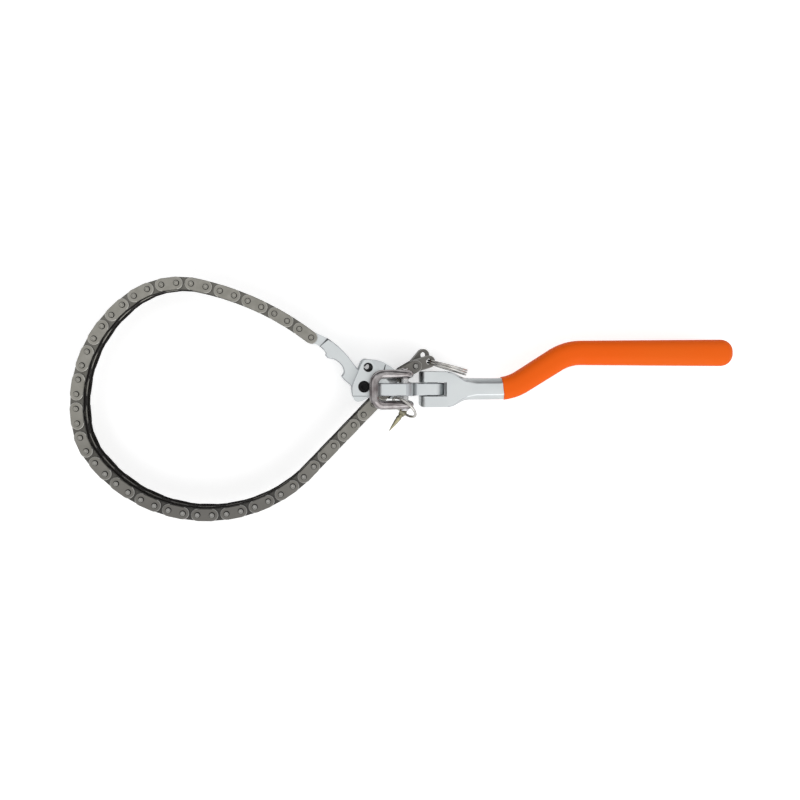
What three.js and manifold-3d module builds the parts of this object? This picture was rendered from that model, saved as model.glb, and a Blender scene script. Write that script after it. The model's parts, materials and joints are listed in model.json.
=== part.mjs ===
// A hand chain wrench: a forged head with two cheeks, a curved jaw arm that swings between them,
// a two-strand roller chain that runs from the arm around a pipe and back into the head's teeth,
// a small bow shackle with a spike on a ring, and a fork handle that folds on a cross pin.
// Millimetres. +X runs along the handle, +Y is up in plan and +Z points away from the bench.
// The plan is drawn about the jaw pivot, halfway through the thickness, and moved at the end
// so that the origin lies on the flat of the rear cheek.

import * as THREE from 'three';
import { mergeVertices } from 'three/addons/utils/BufferGeometryUtils.js';
import Module from 'manifold-3d';

const wasm = await Module();
wasm.setup();

// Chain
const PITCH = 9.525;
const PLATE_END_GAP = 1.265;
const ROLLER_DIA = 6.35;
const PIN_DIA = 3.28;
const PIN_HEAD_DIA = 3.9;
const PIN_HEAD_HEIGHT = 1.2;
const ROLLER_LENGTH = 5.72;
const INNER_PLATE = 1.3;
const MIDDLE_PLATE = 1.3;
const OUTER_PLATE = 1.1;
const PLATE_CLEARANCE = 0.3;
const PIN_CLEARANCE = 0.2;

// The chain's route, in links and degrees: it leaves the jaw arm, turns by stretches, and comes
// back straight along the teeth before its loose end droops
const START_HEADING = 144;
const TEETH_HEADING = 406;
const STRETCHES = [
  { links: 8, turnShare: 0.09 },
  { links: 5, turnShare: 0.19 },
  { links: 10, turnShare: 0.24 },
  { links: 2, turnShare: 0.095 },
  { links: 17, turnShare: 0.385 },
];
const STRAIGHT_LINKS = 10;
const TAIL_HEADINGS = [390, 378];
const REAR_BLOCK_ANGLE = 32;
const SWING_LINKS = 25;
const RETURN_LINKS = 30;
const PAIR_LINKS = 2;
const SWING_RUN_LINKS = 3;

// Head
const CHEEK_THICKNESS = 7;
const CHEEK_CLEARANCE = 0.5;
const JAW_CLEARANCE = 0.9;
const JAW_PIN_DIA = 7.5;
const JAW_PIN_RECESS = 1.2;
const ROLL_PIN_DIA = 5.9;
const ROLL_PIN_BORE = 4.1;
const ROLL_PIN_SLIT = 1.2;
const ROLL_PIN_PROUD = 0.4;
const FACET_DEPTH = 5.3;
const FACET_RUN = 8;
const TOOTH_CLEARANCE = 0.4;
const TOOTH_PITCH_SHARES = [1.5, 0.5];
const TOOTH_TIP_SHARE = 0.25;
const TOOTH_CREST_SHARE = 0.5;
const WEB_CLEARANCE = 0.5;
const WEB_DROP = 2.4;
const RUNNING_FIT = 0.3;

// Fork handle
const KNUCKLE_RADIUS = 8.1;
const KNUCKLE_WIDTH = 8.2;
const KNUCKLE_REACH = 15.4;
const HINGE_OFFSET = 2.4;
const HINGE_PIN_DIA = 7;
const TINE_RADIUS = 8.9;
const TINE_CORNER = 4.2;
const FORK_SIDE_CLEARANCE = 0.5;
const SLOT_CLEARANCE = 0.6;
const TINE_CLEARANCE = 0.6;
const SHOULDER_LENGTH = 20;
const NECK_WIDTH = 14.4;
const NECK_THICKNESS = 12.6;
const NECK_BEVEL = 3.4;
const NECK_RUN = 14.5;
const BEND_RADIUS = 33;
const BEND_ANGLE = 32;
const BEND_STRAIGHT = 27;
const GRIP_SETBACK = 3.7;
const GRIP_LENGTH = 167;
const GRIP_START_WIDTH = 15.7;
const GRIP_END_WIDTH = 18.5;
const GRIP_THICKNESS = 14.4;
const GRIP_WALL = 2.4;
const GRIP_END_WALL = 8;
const GRIP_END_ROUND = 9;
const GRIP_END_SHARES = [0.4, 0.7, 0.9, 0.99];
const OVAL_SQUARENESS_SHARE = 0.75;
const STATION_GAP = 0.3;

// Shackle, tether ring, spike and pull ring
const SHACKLE_ROD_DIA = 6;
const SHACKLE_GAP = 14.1;
const SHACKLE_LENGTH = 21.8;
const SHACKLE_BEND = 6.5;
const SHACKLE_ANGLE = 18;
const EYE_DIA = 11.6;
const SHACKLE_PIN_DIA = 5;
const SHACKLE_PIN_PROUD = 1;
const SHACKLE_PIN_HEIGHT = 18;
const SHACKLE_SET_IN = 4.7;
const LUG_WALL = 1.9;
const ROOT_RUN = 4.6;
const TETHER_RING_DIA = 19.6;
const TETHER_WIRE_DIA = 1.8;
const TETHER_RING_ANGLE = 68;
const TETHER_RING_HEADING = -42;
const TETHER_SHIFT = -0.4;
const TETHER_HEAD_CLEARANCE = 0.26;
const TETHER_LIFT = 0.4;
const SPIKE_DIA = 3;
const SPIKE_LENGTH = 15.5;
const SPIKE_TIP_LENGTH = 9;
const COLLAR_DIA = 5;
const COLLAR_LENGTH = 4;
const SPIKE_EYE_CLEARANCE = 0.9;
const SPIKE_ANGLE = 285;
const SPIKE_HEADING = 224;
const PULL_RING_DIA = 28;
const PULL_WIRE_DIA = 1.3;
const PULL_WIRE_GAP = 0.3;
const PULL_RING_HEADING = 344;
const PULL_RING_TURNS = 2;

// Counts of facets
const PLATE_END_POINTS = 5;
const HIDDEN_PLATE_END_POINTS = 4;
const PLATE_END_ANGLE = 200;
const HEAD_SIDES = 6;
const SHANK_SIDES = 4;
const BORE_SIDES = 8;
const ROLLER_SIDES = 6;
const ROUND_SIDES = 16;
const WIRE_SIDES = 6;
const RING_STEPS = 20;
const BEND_STEPS = 4;
const GRIP_SIDES = 12;

// Overrun of every cut past the face that it opens
const OVERRUN = 1;

// Finishes
const FORGING_STEEL = { color: 0xcfd5d4, roughness: 0.42, metalness: 0.75 };
const CHAIN_STEEL = { color: 0x6f6e6a, roughness: 0.45, metalness: 0.85 };
const DARK_CHROME = { color: 0x8f8b8b, roughness: 0.22, metalness: 0.9 };
const BLACK_OXIDE = { color: 0x26262a, roughness: 0.5, metalness: 0.6 };
const GRIP_VINYL = { color: 0xf0641e, roughness: 0.55, metalness: 0 };
const ZINC_YELLOW = { color: 0x9a8a55, roughness: 0.4, metalness: 0.7 };
const BRIGHT_WIRE = { color: 0xb9bbbd, roughness: 0.25, metalness: 0.95 };

// Worked out from the sizes above
const plateRadius = (PITCH - PLATE_END_GAP) / 2;
const strandOffset = MIDDLE_PLATE / 2 + PLATE_CLEARANCE + INNER_PLATE + ROLLER_LENGTH / 2;
const blockHalf = ROLLER_LENGTH / 2 + INNER_PLATE;
const outerPlateInside = strandOffset + blockHalf + PLATE_CLEARANCE;
const outerPlateOutside = outerPlateInside + OUTER_PLATE;
const chainHalf = outerPlateOutside + PIN_HEAD_HEIGHT;
const cheekInside = chainHalf + CHEEK_CLEARANCE;
const cheekOutside = cheekInside + CHEEK_THICKNESS;
const jawHalf = cheekInside - JAW_CLEARANCE;

// Small helpers

const radians = THREE.MathUtils.degToRad;

function polar(length, degrees) {
  return new THREE.Vector2(length * Math.cos(radians(degrees)), length * Math.sin(radians(degrees)));
}

function toSolid(geometry) {
  const bare = geometry.index ? geometry.toNonIndexed() : geometry.clone();
  bare.deleteAttribute('normal');
  bare.deleteAttribute('uv');
  const merged = mergeVertices(bare);
  const vertProperties = Float32Array.from(merged.attributes.position.array);
  const triVerts = Uint32Array.from(merged.index.array);
  return new wasm.Manifold(new wasm.Mesh({ numProp: 3, vertProperties, triVerts }));
}

function toGeometry(solid) {
  const { vertProperties, triVerts, numProp } = solid.getMesh();
  const geometry = new THREE.BufferGeometry();
  const positions = new THREE.InterleavedBuffer(vertProperties, numProp);
  geometry.setAttribute('position', new THREE.InterleavedBufferAttribute(positions, numProp, 0));
  geometry.setIndex(new THREE.BufferAttribute(triVerts, 1));
  const flat = geometry.toNonIndexed();
  flat.computeVertexNormals();
  return flat;
}

function join(solids) {
  return solids.reduce((whole, solid) => whole.add(solid));
}

// A prism of a closed shape from one height to another
function prism(shape, bottom, top) {
  const geometry = new THREE.ExtrudeGeometry(shape, { depth: top - bottom, bevelEnabled: false });
  return toSolid(geometry.translate(0, 0, bottom));
}

function outline(points) {
  return new THREE.Shape(points.map(([x, y]) => new THREE.Vector2(x, y)));
}

// A many-sided disc shape whose flats lie on the circle when it is a bore
function roundShape(centre, diameter, sides, isBore = false) {
  const radius = isBore ? diameter / 2 / Math.cos(Math.PI / sides) : diameter / 2;
  const points = Array.from({ length: sides }, (_, i) => {
    const angle = ((i + 1 / 2) / sides) * Math.PI * 2;
    return [centre.x + radius * Math.cos(angle), centre.y + radius * Math.sin(angle)];
  });
  return outline(points);
}

function disc(centre, diameter, bottom, top, sides = ROUND_SIDES) {
  return prism(roundShape(centre, diameter, sides), bottom, top);
}

function bore(centre, diameter, bottom, top, sides = ROUND_SIDES) {
  return prism(roundShape(centre, diameter, sides, true), bottom, top);
}

// A side shape in x and z, extruded along Y between two places
function sideExtrusion(shape, from, to) {
  const geometry = new THREE.ExtrudeGeometry(shape, { depth: to - from, bevelEnabled: false });
  return toSolid(geometry.rotateX(Math.PI / 2).translate(0, to, 0));
}

function sidePrism(points, from, to) {
  return sideExtrusion(outline(points), from, to);
}

// A rod along Y between two places, centred at x and z
function crossRod(x, z, diameter, from, to) {
  return sideExtrusion(roundShape(new THREE.Vector2(x, z), diameter, ROUND_SIDES), from, to);
}

// The running hole for a pin of some diameter along Y
function crossBore(x, z, pinDiameter, from, to) {
  const shape = roundShape(new THREE.Vector2(x, z), pinDiameter + RUNNING_FIT, ROUND_SIDES, true);
  return sideExtrusion(shape, from, to);
}

function sweep(points, path, steps) {
  const settings = { steps, bevelEnabled: false, extrudePath: path };
  return new THREE.ExtrudeGeometry(outline(points), settings);
}

function circlePoints(diameter, sides) {
  return Array.from({ length: sides }, (_, i) => {
    const angle = (i / sides) * Math.PI * 2;
    return [(diameter / 2) * Math.cos(angle), (diameter / 2) * Math.sin(angle)];
  });
}

function piece(name, solid, finish) {
  const mesh = new THREE.Mesh(toGeometry(solid), new THREE.MeshStandardMaterial(finish));
  mesh.name = name;
  return mesh;
}

// The chain's route

function linkHeadings() {
  const totalTurn = TEETH_HEADING - START_HEADING;
  const headings = [];
  let heading = START_HEADING;
  for (const { links, turnShare } of STRETCHES) {
    for (let i = 0; i < links; i += 1) {
      headings.push(heading);
      heading += (totalTurn * turnShare) / links;
    }
  }
  for (let i = 0; i < STRAIGHT_LINKS; i += 1) headings.push(TEETH_HEADING);
  return headings.concat(TAIL_HEADINGS);
}

// Pin centres about the jaw pivot: the first pin sits so that the arm is parallel and equal to
// the run from the swing pin to the return pin, which lets the loop flex as a parallelogram
function pinCentres(headings) {
  const pins = [new THREE.Vector2()];
  for (const heading of headings) pins.push(pins.at(-1).clone().add(polar(PITCH, heading)));
  const start = pins[SWING_LINKS].clone().sub(pins[RETURN_LINKS]);
  return pins.map((pin) => pin.add(start));
}

const headings = linkHeadings();
const pins = pinCentres(headings);
const tailPin = headings.length - 2;
const blockPin = headings.length - 1;
const endPin = headings.length;
const livePins = [0, SWING_LINKS, RETURN_LINKS, tailPin, blockPin, endPin];
const teethDirection = polar(1, TEETH_HEADING);
const teethNormal = new THREE.Vector2(teethDirection.y, -teethDirection.x);
const throat = pins[tailPin].dot(teethNormal);
const armVector = pins[0];
const armLength = armVector.length();

// Chain pieces, each drawn about its first pin with its first link along X

function plateShape(endPoints = PLATE_END_POINTS) {
  const step = PLATE_END_ANGLE / (endPoints - 1);
  const end = (centre, facing) => Array.from({ length: endPoints }, (_, i) => {
    const angle = radians(facing - PLATE_END_ANGLE / 2 + i * step);
    return [centre + plateRadius * Math.cos(angle), plateRadius * Math.sin(angle)];
  });
  return outline([...end(PITCH, 0), ...end(0, 180)]);
}

function placeLink(solid, link) {
  const turn = new THREE.Matrix4().makeRotationZ(radians(link.turn));
  turn.setPosition(link.at.x, link.at.y, 0);
  return solid.transform(turn.elements);
}

function isLive(pin) {
  return livePins.includes(pin);
}

// One strand's inner link: two plates and the two rollers between them
function innerBlock(first, fusedPins, strandCentre, endBore = PIN_DIA) {
  const parts = [-1, 1].map((side) => {
    const inside = strandCentre + (side * ROLLER_LENGTH) / 2;
    const outside = inside + side * INNER_PLATE;
    const isHidden = Math.abs(outside) < strandOffset;
    const plate = plateShape(isHidden ? HIDDEN_PLATE_END_POINTS : PLATE_END_POINTS);
    return prism(plate, Math.min(inside, outside), Math.max(inside, outside));
  });
  let block = join(parts);
  [0, 1].forEach((end) => {
    const centre = new THREE.Vector2(end * PITCH, 0);
    const pin = first + end;
    const half = (ROLLER_LENGTH + INNER_PLATE) / 2;
    const roller = disc(centre, ROLLER_DIA, strandCentre - half, strandCentre + half, ROLLER_SIDES);
    block = block.add(roller);
    if (isLive(pin) && !fusedPins.includes(pin)) {
      const diameter = (end === 1 ? endBore : PIN_DIA) + 2 * PIN_CLEARANCE;
      const reach = blockHalf + OVERRUN;
      const hole = bore(centre, diameter, strandCentre - reach, strandCentre + reach, BORE_SIDES);
      block = block.subtract(hole);
    }
  });
  return block;
}

// An outer link: two outer plates, the middle plate, pin heads, and each shank that is not
// already filled in by a solid roller of the next piece
function outerLink(first, fusedPins) {
  const parts = [
    prism(plateShape(), -outerPlateOutside, -outerPlateInside),
    prism(plateShape(HIDDEN_PLATE_END_POINTS), -MIDDLE_PLATE / 2, MIDDLE_PLATE / 2),
    prism(plateShape(), outerPlateInside, outerPlateOutside),
  ];
  [0, 1].forEach((end) => {
    const centre = new THREE.Vector2(end * PITCH, 0);
    const pin = first + end;
    const headRoot = (outerPlateInside + outerPlateOutside) / 2;
    parts.push(disc(centre, PIN_HEAD_DIA, headRoot, chainHalf, HEAD_SIDES));
    parts.push(disc(centre, PIN_HEAD_DIA, -chainHalf, -headRoot, HEAD_SIDES));
    const sides = isLive(pin) ? BORE_SIDES : SHANK_SIDES;
    const hasShank = isLive(pin) || fusedPins.includes(pin);
    if (hasShank) parts.push(disc(centre, PIN_DIA, -headRoot, headRoot, sides));
  });
  return join(parts);
}

// A rigid run of links from one pin to another
function chainRun(from, to) {
  const fusedPins = Array.from({ length: to - from - 1 }, (_, i) => from + 1 + i);
  const origin = pins[from];
  const solids = [];
  for (let first = from; first < to; first += 1) {
    const at = pins[first].clone().sub(origin);
    at.rotateAround(new THREE.Vector2(), -radians(headings[from]));
    const link = { at, turn: headings[first] - headings[from] };
    if (first % 2 === 0) {
      solids.push(placeLink(outerLink(first, fusedPins), link));
    } else {
      [-strandOffset, strandOffset].forEach((strandCentre) => {
        solids.push(placeLink(innerBlock(first, fusedPins, strandCentre), link));
      });
    }
  }
  return join(solids);
}

function chainPiece(name, solid, pin, heading) {
  const mesh = piece(name, solid, CHAIN_STEEL);
  mesh.position.set(pins[pin].x, pins[pin].y, 0);
  mesh.rotation.z = radians(heading);
  return mesh;
}

function chainRuns() {
  const breaks = [];
  for (let pin = 0; pin < SWING_LINKS; pin += PAIR_LINKS) breaks.push(pin);
  breaks.push(SWING_LINKS);
  for (let pin = SWING_LINKS + SWING_RUN_LINKS; pin < tailPin; pin += PAIR_LINKS) breaks.push(pin);
  breaks.push(tailPin, blockPin);
  return breaks.slice(1).map((to, i) => {
    const from = breaks[i];
    const label = `chain_links_${String(from + 1).padStart(2, '0')}_${String(to).padStart(2, '0')}`;
    return chainPiece(label, chainRun(from, to), from, headings[from]);
  });
}

function endBlocks() {
  const bundle = PULL_RING_TURNS * (PULL_WIRE_DIA + PULL_WIRE_GAP) - PULL_WIRE_GAP;
  return [
    { name: 'chain_end_block_front', side: 1, lift: 0 },
    { name: 'chain_end_block_rear', side: -1, lift: REAR_BLOCK_ANGLE },
  ].map(({ name, side, lift }) => {
    const solid = innerBlock(blockPin, [], side * strandOffset, bundle + PULL_WIRE_DIA / 2);
    return chainPiece(name, solid, blockPin, headings[blockPin] + lift);
  });
}

// Head

// Plan of a cheek about the jaw pivot, in shares of the throat, which is the distance from the
// jaw pivot to the line of chain pins along the teeth
const BODY_RIGHT_SHARE = 2.4;
const BODY_TOP_SHARE = 0.17;
const BODY_BOTTOM_SHARE = -0.46;
const CHEEK_OUTLINE_SHARES = [
  [-0.586, -0.31], [-0.52, -0.6], [-0.39, -0.74], [-0.15, -0.74], [0.0, -0.67], [0.22, -0.51],
  [0.26, -0.47], [BODY_RIGHT_SHARE, BODY_BOTTOM_SHARE], [BODY_RIGHT_SHARE, BODY_TOP_SHARE],
  [1.74, 0.19], [1.575, 0.46], [1.565, 0.75],
  [1.44, 0.93], [1.23, 1.07], [0.97, 1.22], [0.73, 1.3], [0.37, 1.33], [0.09, 1.37],
  [-0.03, 1.3], [-0.12, 1.18], [-0.27, 0.81], [-0.43, 0.43], [-0.586, 0.02],
];
const ROLL_PIN_SHARES = [0.205, 0.96];
const FACET_LINE_SHARES = [[0.34, 1.3], [1.16, 0.32]];
const FACET_TAIL_SHARE = 0.4;
const RIDGE_RAMP_SHARES = [0.45, 1.1];
const ROOT_SLOPE_SHARES = [[1, 0], [0.62, 0.08], [0.33, 0.35], [0.12, 0.75], [0, 1]];
const bodyRight = BODY_RIGHT_SHARE * throat;
const bodyTop = BODY_TOP_SHARE * throat;
const bodyBottom = BODY_BOTTOM_SHARE * throat;

const hinge = new THREE.Vector2(bodyRight + KNUCKLE_REACH, -HINGE_OFFSET);
const rollPin = new THREE.Vector2(...ROLL_PIN_SHARES).multiplyScalar(throat);
const shackleReach = bodyRight - SHACKLE_SET_IN;
const lugCentre = (bodyTop + bodyBottom) / 2;

function cheekPlan() {
  return outline(CHEEK_OUTLINE_SHARES.map(([x, y]) => [x * throat, y * throat]));
}

// The web that joins the cheeks behind the chain
function headWeb() {
  const face = throat + plateRadius + WEB_CLEARANCE;
  const alongAt = (y) => (face - y * teethNormal.y) / teethNormal.x;
  const foot = bodyBottom - WEB_DROP;
  const points = [
    [alongAt(foot), foot],
    [alongAt(foot) + WEB_DROP, foot],
    [bodyRight, bodyBottom],
    [bodyRight, bodyTop],
    [alongAt(bodyTop), bodyTop],
  ];
  return prism(outline(points), -cheekInside - OVERRUN, cheekInside + OVERRUN);
}

// Teeth that stand between the rollers of both strands
function headTeeth() {
  const width = PITCH - ROLLER_DIA - 2 * TOOTH_CLEARANCE;
  const half = ROLLER_LENGTH / 2 - TOOTH_CLEARANCE;
  const root = plateRadius + WEB_CLEARANCE + OVERRUN;
  const tip = ROLLER_DIA * TOOTH_TIP_SHARE;
  const crest = width * TOOTH_CREST_SHARE;
  const solids = [];
  TOOTH_PITCH_SHARES.forEach((back) => {
    const middle = pins[tailPin].clone().addScaledVector(teethDirection, -back * PITCH);
    const corner = (along, out) => {
      const point = middle.clone().addScaledVector(teethDirection, along);
      point.addScaledVector(teethNormal, out);
      return [point.x, point.y];
    };
    const tooth = [
      corner(-width / 2, root), corner(width / 2, root),
      corner(crest / 2, tip), corner(-crest / 2, tip),
    ];
    [-strandOffset, strandOffset].forEach((centre) => {
      solids.push(prism(outline(tooth), centre - half, centre + half));
    });
  });
  return join(solids);
}

// The knuckle that the handle folds on, rounded about the hinge, with its thinner throat
function headKnuckle() {
  const steps = ROUND_SIDES / 2;
  const profile = [[bodyRight - OVERRUN, -KNUCKLE_RADIUS]];
  for (let i = 0; i <= steps; i += 1) {
    const angle = -Math.PI / 2 + (i / steps) * Math.PI;
    profile.push([hinge.x + KNUCKLE_RADIUS * Math.cos(angle), KNUCKLE_RADIUS * Math.sin(angle)]);
  }
  profile.push([bodyRight - OVERRUN, KNUCKLE_RADIUS]);
  return sidePrism(profile, hinge.y - KNUCKLE_WIDTH / 2, hinge.y + KNUCKLE_WIDTH / 2);
}

// The raised ridge that carries the shackle's pin: it ramps up from the front cheek and is
// rounded over the pin
function shackleRidge() {
  const radius = SHACKLE_PIN_DIA / 2 + LUG_WALL;
  const crown = SHACKLE_PIN_HEIGHT + radius;
  const profile = [[bodyRight, cheekInside]];
  for (let i = 0; i <= ROUND_SIDES / 4; i += 1) {
    const angle = (i / ROUND_SIDES) * Math.PI * 2;
    const height = SHACKLE_PIN_HEIGHT + radius * Math.sin(angle);
    profile.push([shackleReach + (bodyRight - shackleReach) * Math.cos(angle), height]);
  }
  const [rampStart, rampEnd] = RIDGE_RAMP_SHARES.map((share) => share * throat);
  profile.push([rampEnd, crown], [rampStart, cheekOutside], [rampStart, cheekInside]);
  return sidePrism(profile, bodyBottom, bodyTop);
}

// The hollow slopes where the knuckle leaves the thick body, front and rear
function knuckleRoots() {
  const slope = ROOT_SLOPE_SHARES.map(([along, up]) => [
    bodyRight + along * ROOT_RUN, KNUCKLE_RADIUS + up * (cheekOutside - KNUCKLE_RADIUS),
  ]);
  const profile = [
    [bodyRight - OVERRUN, KNUCKLE_RADIUS - OVERRUN], [bodyRight + ROOT_RUN, KNUCKLE_RADIUS - OVERRUN],
    ...slope, [bodyRight - OVERRUN, cheekOutside],
  ];
  const mirrored = profile.map(([x, z]) => [x, -z]).reverse();
  const [near, far] = [-1, 1].map((side) => hinge.y + (side * KNUCKLE_WIDTH) / 2);
  return [profile, mirrored].map((points) => sidePrism(points, near, far));
}

// The sloping facet along the upper edge of the front cheek, cut as a wedge
function headFacet() {
  const [start, end] = FACET_LINE_SHARES.map(([x, y]) => new THREE.Vector2(x * throat, y * throat));
  const run = end.clone().sub(start);
  const profile = outline([
    [-OVERRUN, (OVERRUN * FACET_DEPTH) / FACET_RUN], [throat, OVERRUN],
    [throat, -FACET_DEPTH], [FACET_RUN, -FACET_DEPTH],
  ]);
  const length = run.length() + throat * (1 + FACET_TAIL_SHARE);
  const wedge = new THREE.ExtrudeGeometry(profile, { depth: length, bevelEnabled: false });
  const along = new THREE.Vector3(run.x, run.y, 0).normalize();
  const across = new THREE.Vector3(-run.y, run.x, 0).normalize();
  wedge.applyMatrix4(new THREE.Matrix4().makeBasis(across, new THREE.Vector3(0, 0, 1), along));
  wedge.translate(start.x - along.x * throat, start.y - along.y * throat, cheekOutside);
  return toSolid(wedge);
}

function headBody() {
  const plan = cheekPlan();
  let body = join([
    prism(plan, cheekInside, cheekOutside),
    prism(plan, -cheekOutside, -cheekInside),
    headWeb(),
    headTeeth(),
    headKnuckle(),
    ...knuckleRoots(),
  ]);
  body = body.subtract(headFacet()).add(shackleRidge());
  const deep = cheekOutside + OVERRUN;
  const knuckleHalf = KNUCKLE_WIDTH / 2 + OVERRUN;
  const cuts = [
    bore(new THREE.Vector2(), JAW_PIN_DIA + RUNNING_FIT, -deep, deep),
    bore(rollPin, ROLL_PIN_DIA + RUNNING_FIT, -deep, deep),
    crossBore(hinge.x, 0, HINGE_PIN_DIA, hinge.y - knuckleHalf, hinge.y + knuckleHalf),
    crossBore(
      shackleReach, SHACKLE_PIN_HEIGHT, SHACKLE_PIN_DIA, bodyBottom - OVERRUN, bodyTop + OVERRUN,
    ),
  ];
  return piece('head_body', cuts.reduce((solid, cut) => solid.subtract(cut), body), FORGING_STEEL);
}

function jawPivotPin() {
  const half = cheekOutside - JAW_PIN_RECESS;
  return piece('jaw_pivot_pin', disc(new THREE.Vector2(), JAW_PIN_DIA, -half, half), BLACK_OXIDE);
}

// A rolled spring pin, open on the side that faces the chain loop
function stopRollPin() {
  const half = cheekOutside + ROLL_PIN_PROUD;
  const slit = outline([
    [-ROLL_PIN_DIA, -ROLL_PIN_SLIT / 2], [0, -ROLL_PIN_SLIT / 2],
    [0, ROLL_PIN_SLIT / 2], [-ROLL_PIN_DIA, ROLL_PIN_SLIT / 2],
  ]);
  const centre = new THREE.Vector2();
  const solid = disc(centre, ROLL_PIN_DIA, -half, half)
    .subtract(bore(centre, ROLL_PIN_BORE, -half - OVERRUN, half + OVERRUN))
    .subtract(prism(slit, -half - OVERRUN, half + OVERRUN));
  const mesh = piece('stop_roll_pin', solid, BLACK_OXIDE);
  mesh.position.set(rollPin.x, rollPin.y, 0);
  return mesh;
}

// Jaw arm, drawn with its first axis from the jaw pivot towards the first chain pin, in shares
// of the distance between them

const JAW_OUTLINE_SHARES = [
  [1.088, 0.0], [1.062, -0.062], [1.01, -0.088], [0.92, -0.12], [0.82, -0.15], [0.7, -0.165],
  [0.6, -0.168], [0.49, -0.162], [0.4, -0.15], [0.33, -0.137], [0.23, -0.125], [0.1, -0.14],
  [0.0, -0.176], [-0.125, -0.125], [-0.176, 0.0], [-0.125, 0.125], [0.0, 0.176], [0.13, 0.12],
  [0.25, 0.122], [0.321, 0.114], [0.334, 0.05], [0.392, 0.008], [0.48, -0.006], [0.558, 0.008],
  [0.637, 0.056], [0.692, 0.048], [0.704, 0.02], [0.77, 0.01], [0.85, 0.016], [0.92, 0.04],
  [0.96, 0.07], [1.0, 0.088], [1.062, 0.062],
];
const TONGUE_START_SHARE = 0.83;

function jawArm() {
  const points = JAW_OUTLINE_SHARES.map(([along, across]) => [along * armLength, across * armLength]);
  const tongueHalf = outerPlateInside - PLATE_CLEARANCE;
  const tongueStart = armLength * TONGUE_START_SHARE;
  const tongueEnd = tongueStart + armLength;
  const tongueSide = outline([
    [tongueStart, -armLength], [tongueEnd, -armLength], [tongueEnd, armLength], [tongueStart, armLength],
  ]);
  const deep = jawHalf + OVERRUN;
  const chainPin = new THREE.Vector2(armLength, 0);
  const slotHalf = MIDDLE_PLATE / 2 + PLATE_CLEARANCE;
  const slotReach = 2 * (plateRadius + PLATE_END_GAP);
  const cuts = [
    prism(tongueSide, tongueHalf, deep),
    prism(tongueSide, -deep, -tongueHalf),
    disc(chainPin, slotReach, -slotHalf, slotHalf),
    bore(chainPin, PIN_DIA + 2 * PIN_CLEARANCE, -deep, deep, BORE_SIDES),
    bore(new THREE.Vector2(), JAW_PIN_DIA + RUNNING_FIT, -deep, deep),
  ];
  const blank = prism(outline(points), -jawHalf, jawHalf);
  const mesh = piece('jaw_arm', cuts.reduce((solid, cut) => solid.subtract(cut), blank), FORGING_STEEL);
  mesh.rotation.z = Math.atan2(armVector.y, armVector.x);
  return mesh;
}

// Paths made of straight runs and bends, in plan

// Where a path of runs has got to after some length, and its heading there in radians
function pathAt(start, runs, length) {
  const place = start.clone();
  let heading = 0;
  let left = length;
  runs.forEach((run, i) => {
    const used = i === runs.length - 1 ? left : Math.min(left, run.length);
    const turned = (run.turn * used) / run.length;
    const chord = run.turn === 0 ? used : 2 * (run.length / run.turn) * Math.sin(turned / 2);
    place.x += chord * Math.cos(heading + turned / 2);
    place.y += chord * Math.sin(heading + turned / 2);
    heading += turned;
    left -= used;
  });
  return { place, heading };
}

// A closed skin through rings of points, with flat ends
function loft(rings) {
  const count = rings[0].length;
  const corners = [];
  const middle = (ring) => {
    const total = ring.reduce((sum, point) => sum.add(point), new THREE.Vector3());
    return total.divideScalar(count);
  };
  const face = (a, b, c) => [a, b, c].forEach((point) => corners.push(...point.toArray()));
  const first = rings[0];
  const last = rings.at(-1);
  for (let i = 0; i < count; i += 1) {
    const next = (i + 1) % count;
    for (let j = 1; j < rings.length; j += 1) {
      face(rings[j - 1][i], rings[j - 1][next], rings[j][next]);
      face(rings[j - 1][i], rings[j][next], rings[j][i]);
    }
    face(middle(first), first[next], first[i]);
    face(middle(last), last[i], last[next]);
  }
  const geometry = new THREE.BufferGeometry();
  geometry.setAttribute('position', new THREE.Float32BufferAttribute(corners, 3));
  return toSolid(geometry);
}

// A bar along a path: each station has its length along the path and its section's points
function bar(start, runs, stations) {
  return loft(stations.map(({ length, section }) => {
    const { place, heading } = pathAt(start, runs, length);
    return section.map(([across, up]) => new THREE.Vector3(
      place.x - across * Math.sin(heading),
      place.y + across * Math.cos(heading),
      up,
    ));
  }));
}

function bevelledSection(width, thickness, bevel) {
  const [halfWidth, halfThickness] = [width / 2, thickness / 2];
  return [
    [-halfWidth, bevel - halfThickness], [bevel - halfWidth, -halfThickness],
    [halfWidth - bevel, -halfThickness], [halfWidth, bevel - halfThickness],
    [halfWidth, halfThickness - bevel], [halfWidth - bevel, halfThickness],
    [bevel - halfWidth, halfThickness], [-halfWidth, halfThickness - bevel],
  ];
}

// A flattened round section: a squarer oval than an ellipse
function ovalSection(width, thickness, sides) {
  return Array.from({ length: sides }, (_, i) => {
    const angle = ((i + 1 / 2) / sides) * Math.PI * 2;
    const [c, s] = [Math.cos(angle), Math.sin(angle)];
    const across = (width / 2) * Math.sign(c) * Math.abs(c) ** OVAL_SQUARENESS_SHARE;
    const up = (thickness / 2) * Math.sign(s) * Math.abs(s) ** OVAL_SQUARENESS_SHARE;
    return [across, up];
  });
}

// Handle

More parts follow.
